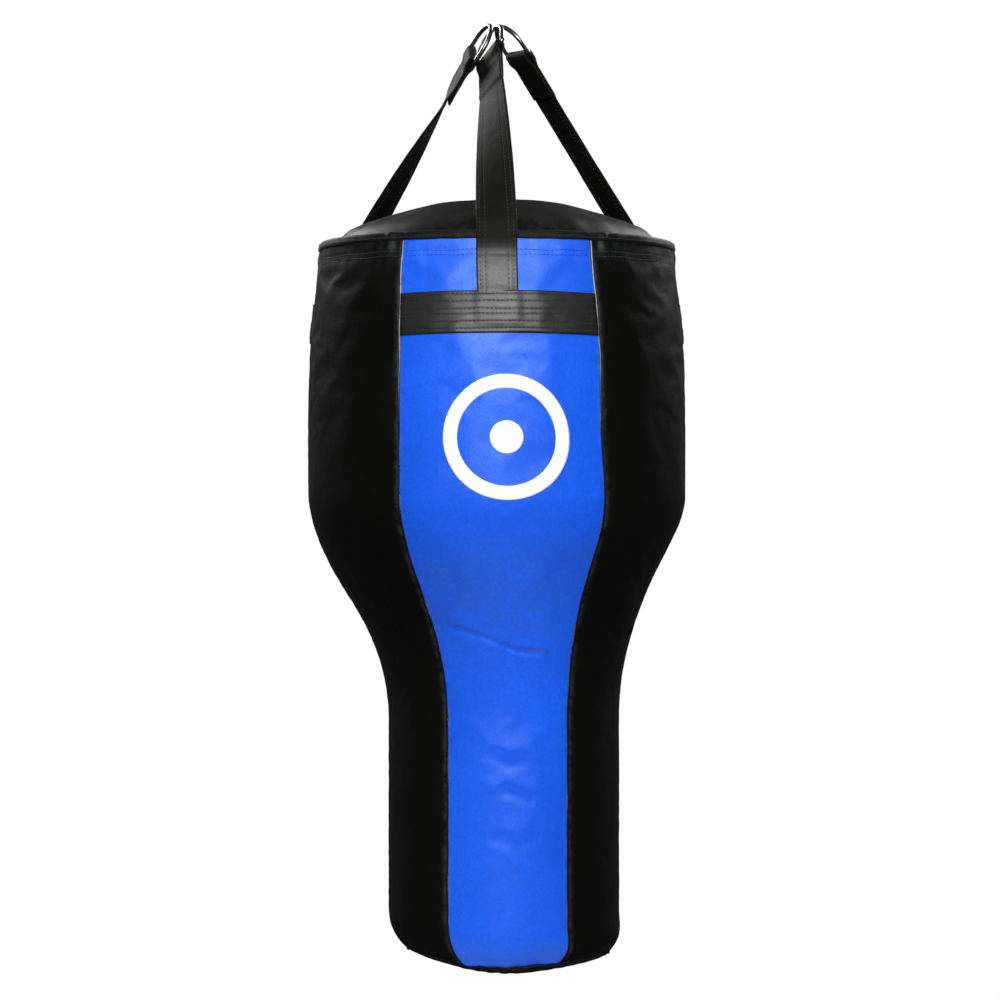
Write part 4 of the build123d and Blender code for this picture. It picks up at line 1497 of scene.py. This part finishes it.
for node in ("foam_wide", "foam_taper", "foam_narrow", "foam_base", "foam_top"):
    inside_piece(node, pad_foam, "foam", 0.006, 0.0012)
inside_piece("textile_filling", textile_scraps, "filling", 0.009, 0.006)


def build_sack():
    """The thin sack round the filling, creased all over and open at its mouth."""
    middle = -0.7
    radii, heights = outer_outline("inner_sack", middle, 0.05)
    _, radii, heights = evenly(radii, heights, 0.006)
    keep = radii > 0.004
    radii, heights = radii[keep], heights[keep]
    azimuths = round_turn(200, -math.pi)
    azimuth_grid, radius_grid = np.meshgrid(azimuths, radii)
    height_grid = heights[:, None] + 0 * azimuth_grid
    plain = settled(radius_grid, azimuth_grid, height_grid)
    crumple = 0.0010 * (noise_at(plain, 30.0, 20) - 0.6)
    outer = settled(radius_grid + crumple, azimuth_grid, height_grid)
    inner = settled(radius_grid + crumple - 0.0008, azimuth_grid,
                    height_grid - 0.0008 * np.sign(height_grid - middle) * (radius_grid < 0.1))
    piece = slab("inner_sack", outer, inner, [sack_cloth], wrap=True)
    join_bag(piece, "sack", "inner_sack")


build_sack()


def build_facing():
    """The strip that lines the rim."""
    low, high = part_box("hem_facing")
    azimuths = round_turn(360, -math.pi)
    rows = np.linspace(down_to(high.z), down_to(low.z), 24)
    azimuth_grid, downs = np.meshgrid(azimuths, rows)
    ripple = 0.0004 * noise_at(bag_point(azimuth_grid, downs, plain=True), 50.0, 22)
    outer = bag_point(azimuth_grid, downs, -wall_thickness - 0.0002 + np.minimum(ripple, 0))
    inner = bag_point(azimuth_grid, downs, -wall_thickness - 0.0017 + ripple)
    piece = slab("hem_facing", outer, inner, [binding_tape], wrap=True)
    join_bag(piece, "binding", "hem_facing")


build_facing()


# ------ carried-over nodes


def repaint(nodes, material):
    """Gives CAD nodes that are shown as they are a material of this scene."""
    for node in nodes:
        mesh = frame["nodes"][node].data
        for index in range(len(mesh.materials)):
            mesh.materials[index] = material


repaint([node for node in frame["nodes"] if node.startswith("d_ring")], ring_steel)
repaint(["zip_slider", "zip_pull", "zip_stops"], zip_brass)
repaint(["zip_tape_front", "zip_tape_back"], tape_cloth)


# ------ camera, lights and floor


def aim(thing, target):
    """Turns a light or camera towards a point."""
    way = Vector(target) - thing.location
    thing.rotation_euler = way.to_track_quat("-Z", "Y").to_euler()


def softbox(name, place, target, width, height, power, shine):
    """A soft rectangular light."""
    data = bpy.data.lights.new(name, "AREA")
    data.shape = "RECTANGLE"
    data.size, data.size_y = width, height
    data.energy = power
    lamp = bpy.data.objects.new(name, data)
    scene.collection.objects.link(lamp)
    lamp.location = place
    lamp.visible_glossy = shine
    aim(lamp, target)


def studio():
    """The camera, a white backdrop and the lights."""
    camera = bpy.data.objects.new("camera", bpy.data.cameras.new("camera"))
    camera.data.lens = camera_lens
    camera.data.clip_end = 50
    camera.location = camera_place
    scene.collection.objects.link(camera)
    aim(camera, (camera_place[0], 0, camera_place[2]))
    scene.camera = camera
    scene.view_settings.view_transform = "Standard"
    world = bpy.data.worlds.new("studio")
    scene.world = world
    world.use_nodes = True
    tree = world.node_tree
    background = tree.nodes["Background"]
    ray = tree.nodes.new("ShaderNodeLightPath")
    mix = tree.nodes.new("ShaderNodeMix")
    mix.data_type = "RGBA"
    mix.inputs[6].default_value = gloom
    mix.inputs[7].default_value = (1, 1, 1, 1)
    tree.links.new(ray.outputs["Is Camera Ray"], mix.inputs[0])
    tree.links.new(mix.outputs[2], background.inputs["Color"])
    for name, values in softboxes.items():
        softbox(name, *values)


def build_floor():
    """A round pale floor under the bag that fades out at its edge."""
    rings, around = 14, 96
    angles, reaches = np.meshgrid(round_turn(around), floor_radius * np.arange(1, rings + 1) / rings)
    height = cad_box[0].z - floor_drop
    points = np.stack([reaches * np.sin(angles), reaches * np.cos(angles), height + 0 * angles], -1)
    points = np.concatenate([[(0, 0, height)], points.reshape(-1, 3)])
    faces = [(0, 1 + (step + 1) % around, 1 + step) for step in range(around)]
    faces += grid_faces(rings, around, first=1, flip=True, wrap=True)
    s = Surface("floor_paint")
    flat = s.add("VectorMath", 0, {"operation": "MULTIPLY"}, i0=s.places(), i1=(1, 1, 0))
    away = s.add("VectorMath", "Value", {"operation": "LENGTH"}, i0=flat)
    shown = s.spread(away, floor_radius * 0.45, floor_radius * 0.97, 1.0, 0.0)
    material = s.finish((0.86, 0.86, 0.85, 1), 0.7, Alpha=shown)
    floor = solid("floor", points, faces, [material])
    floor.visible_glossy = False


studio()
build_floor()
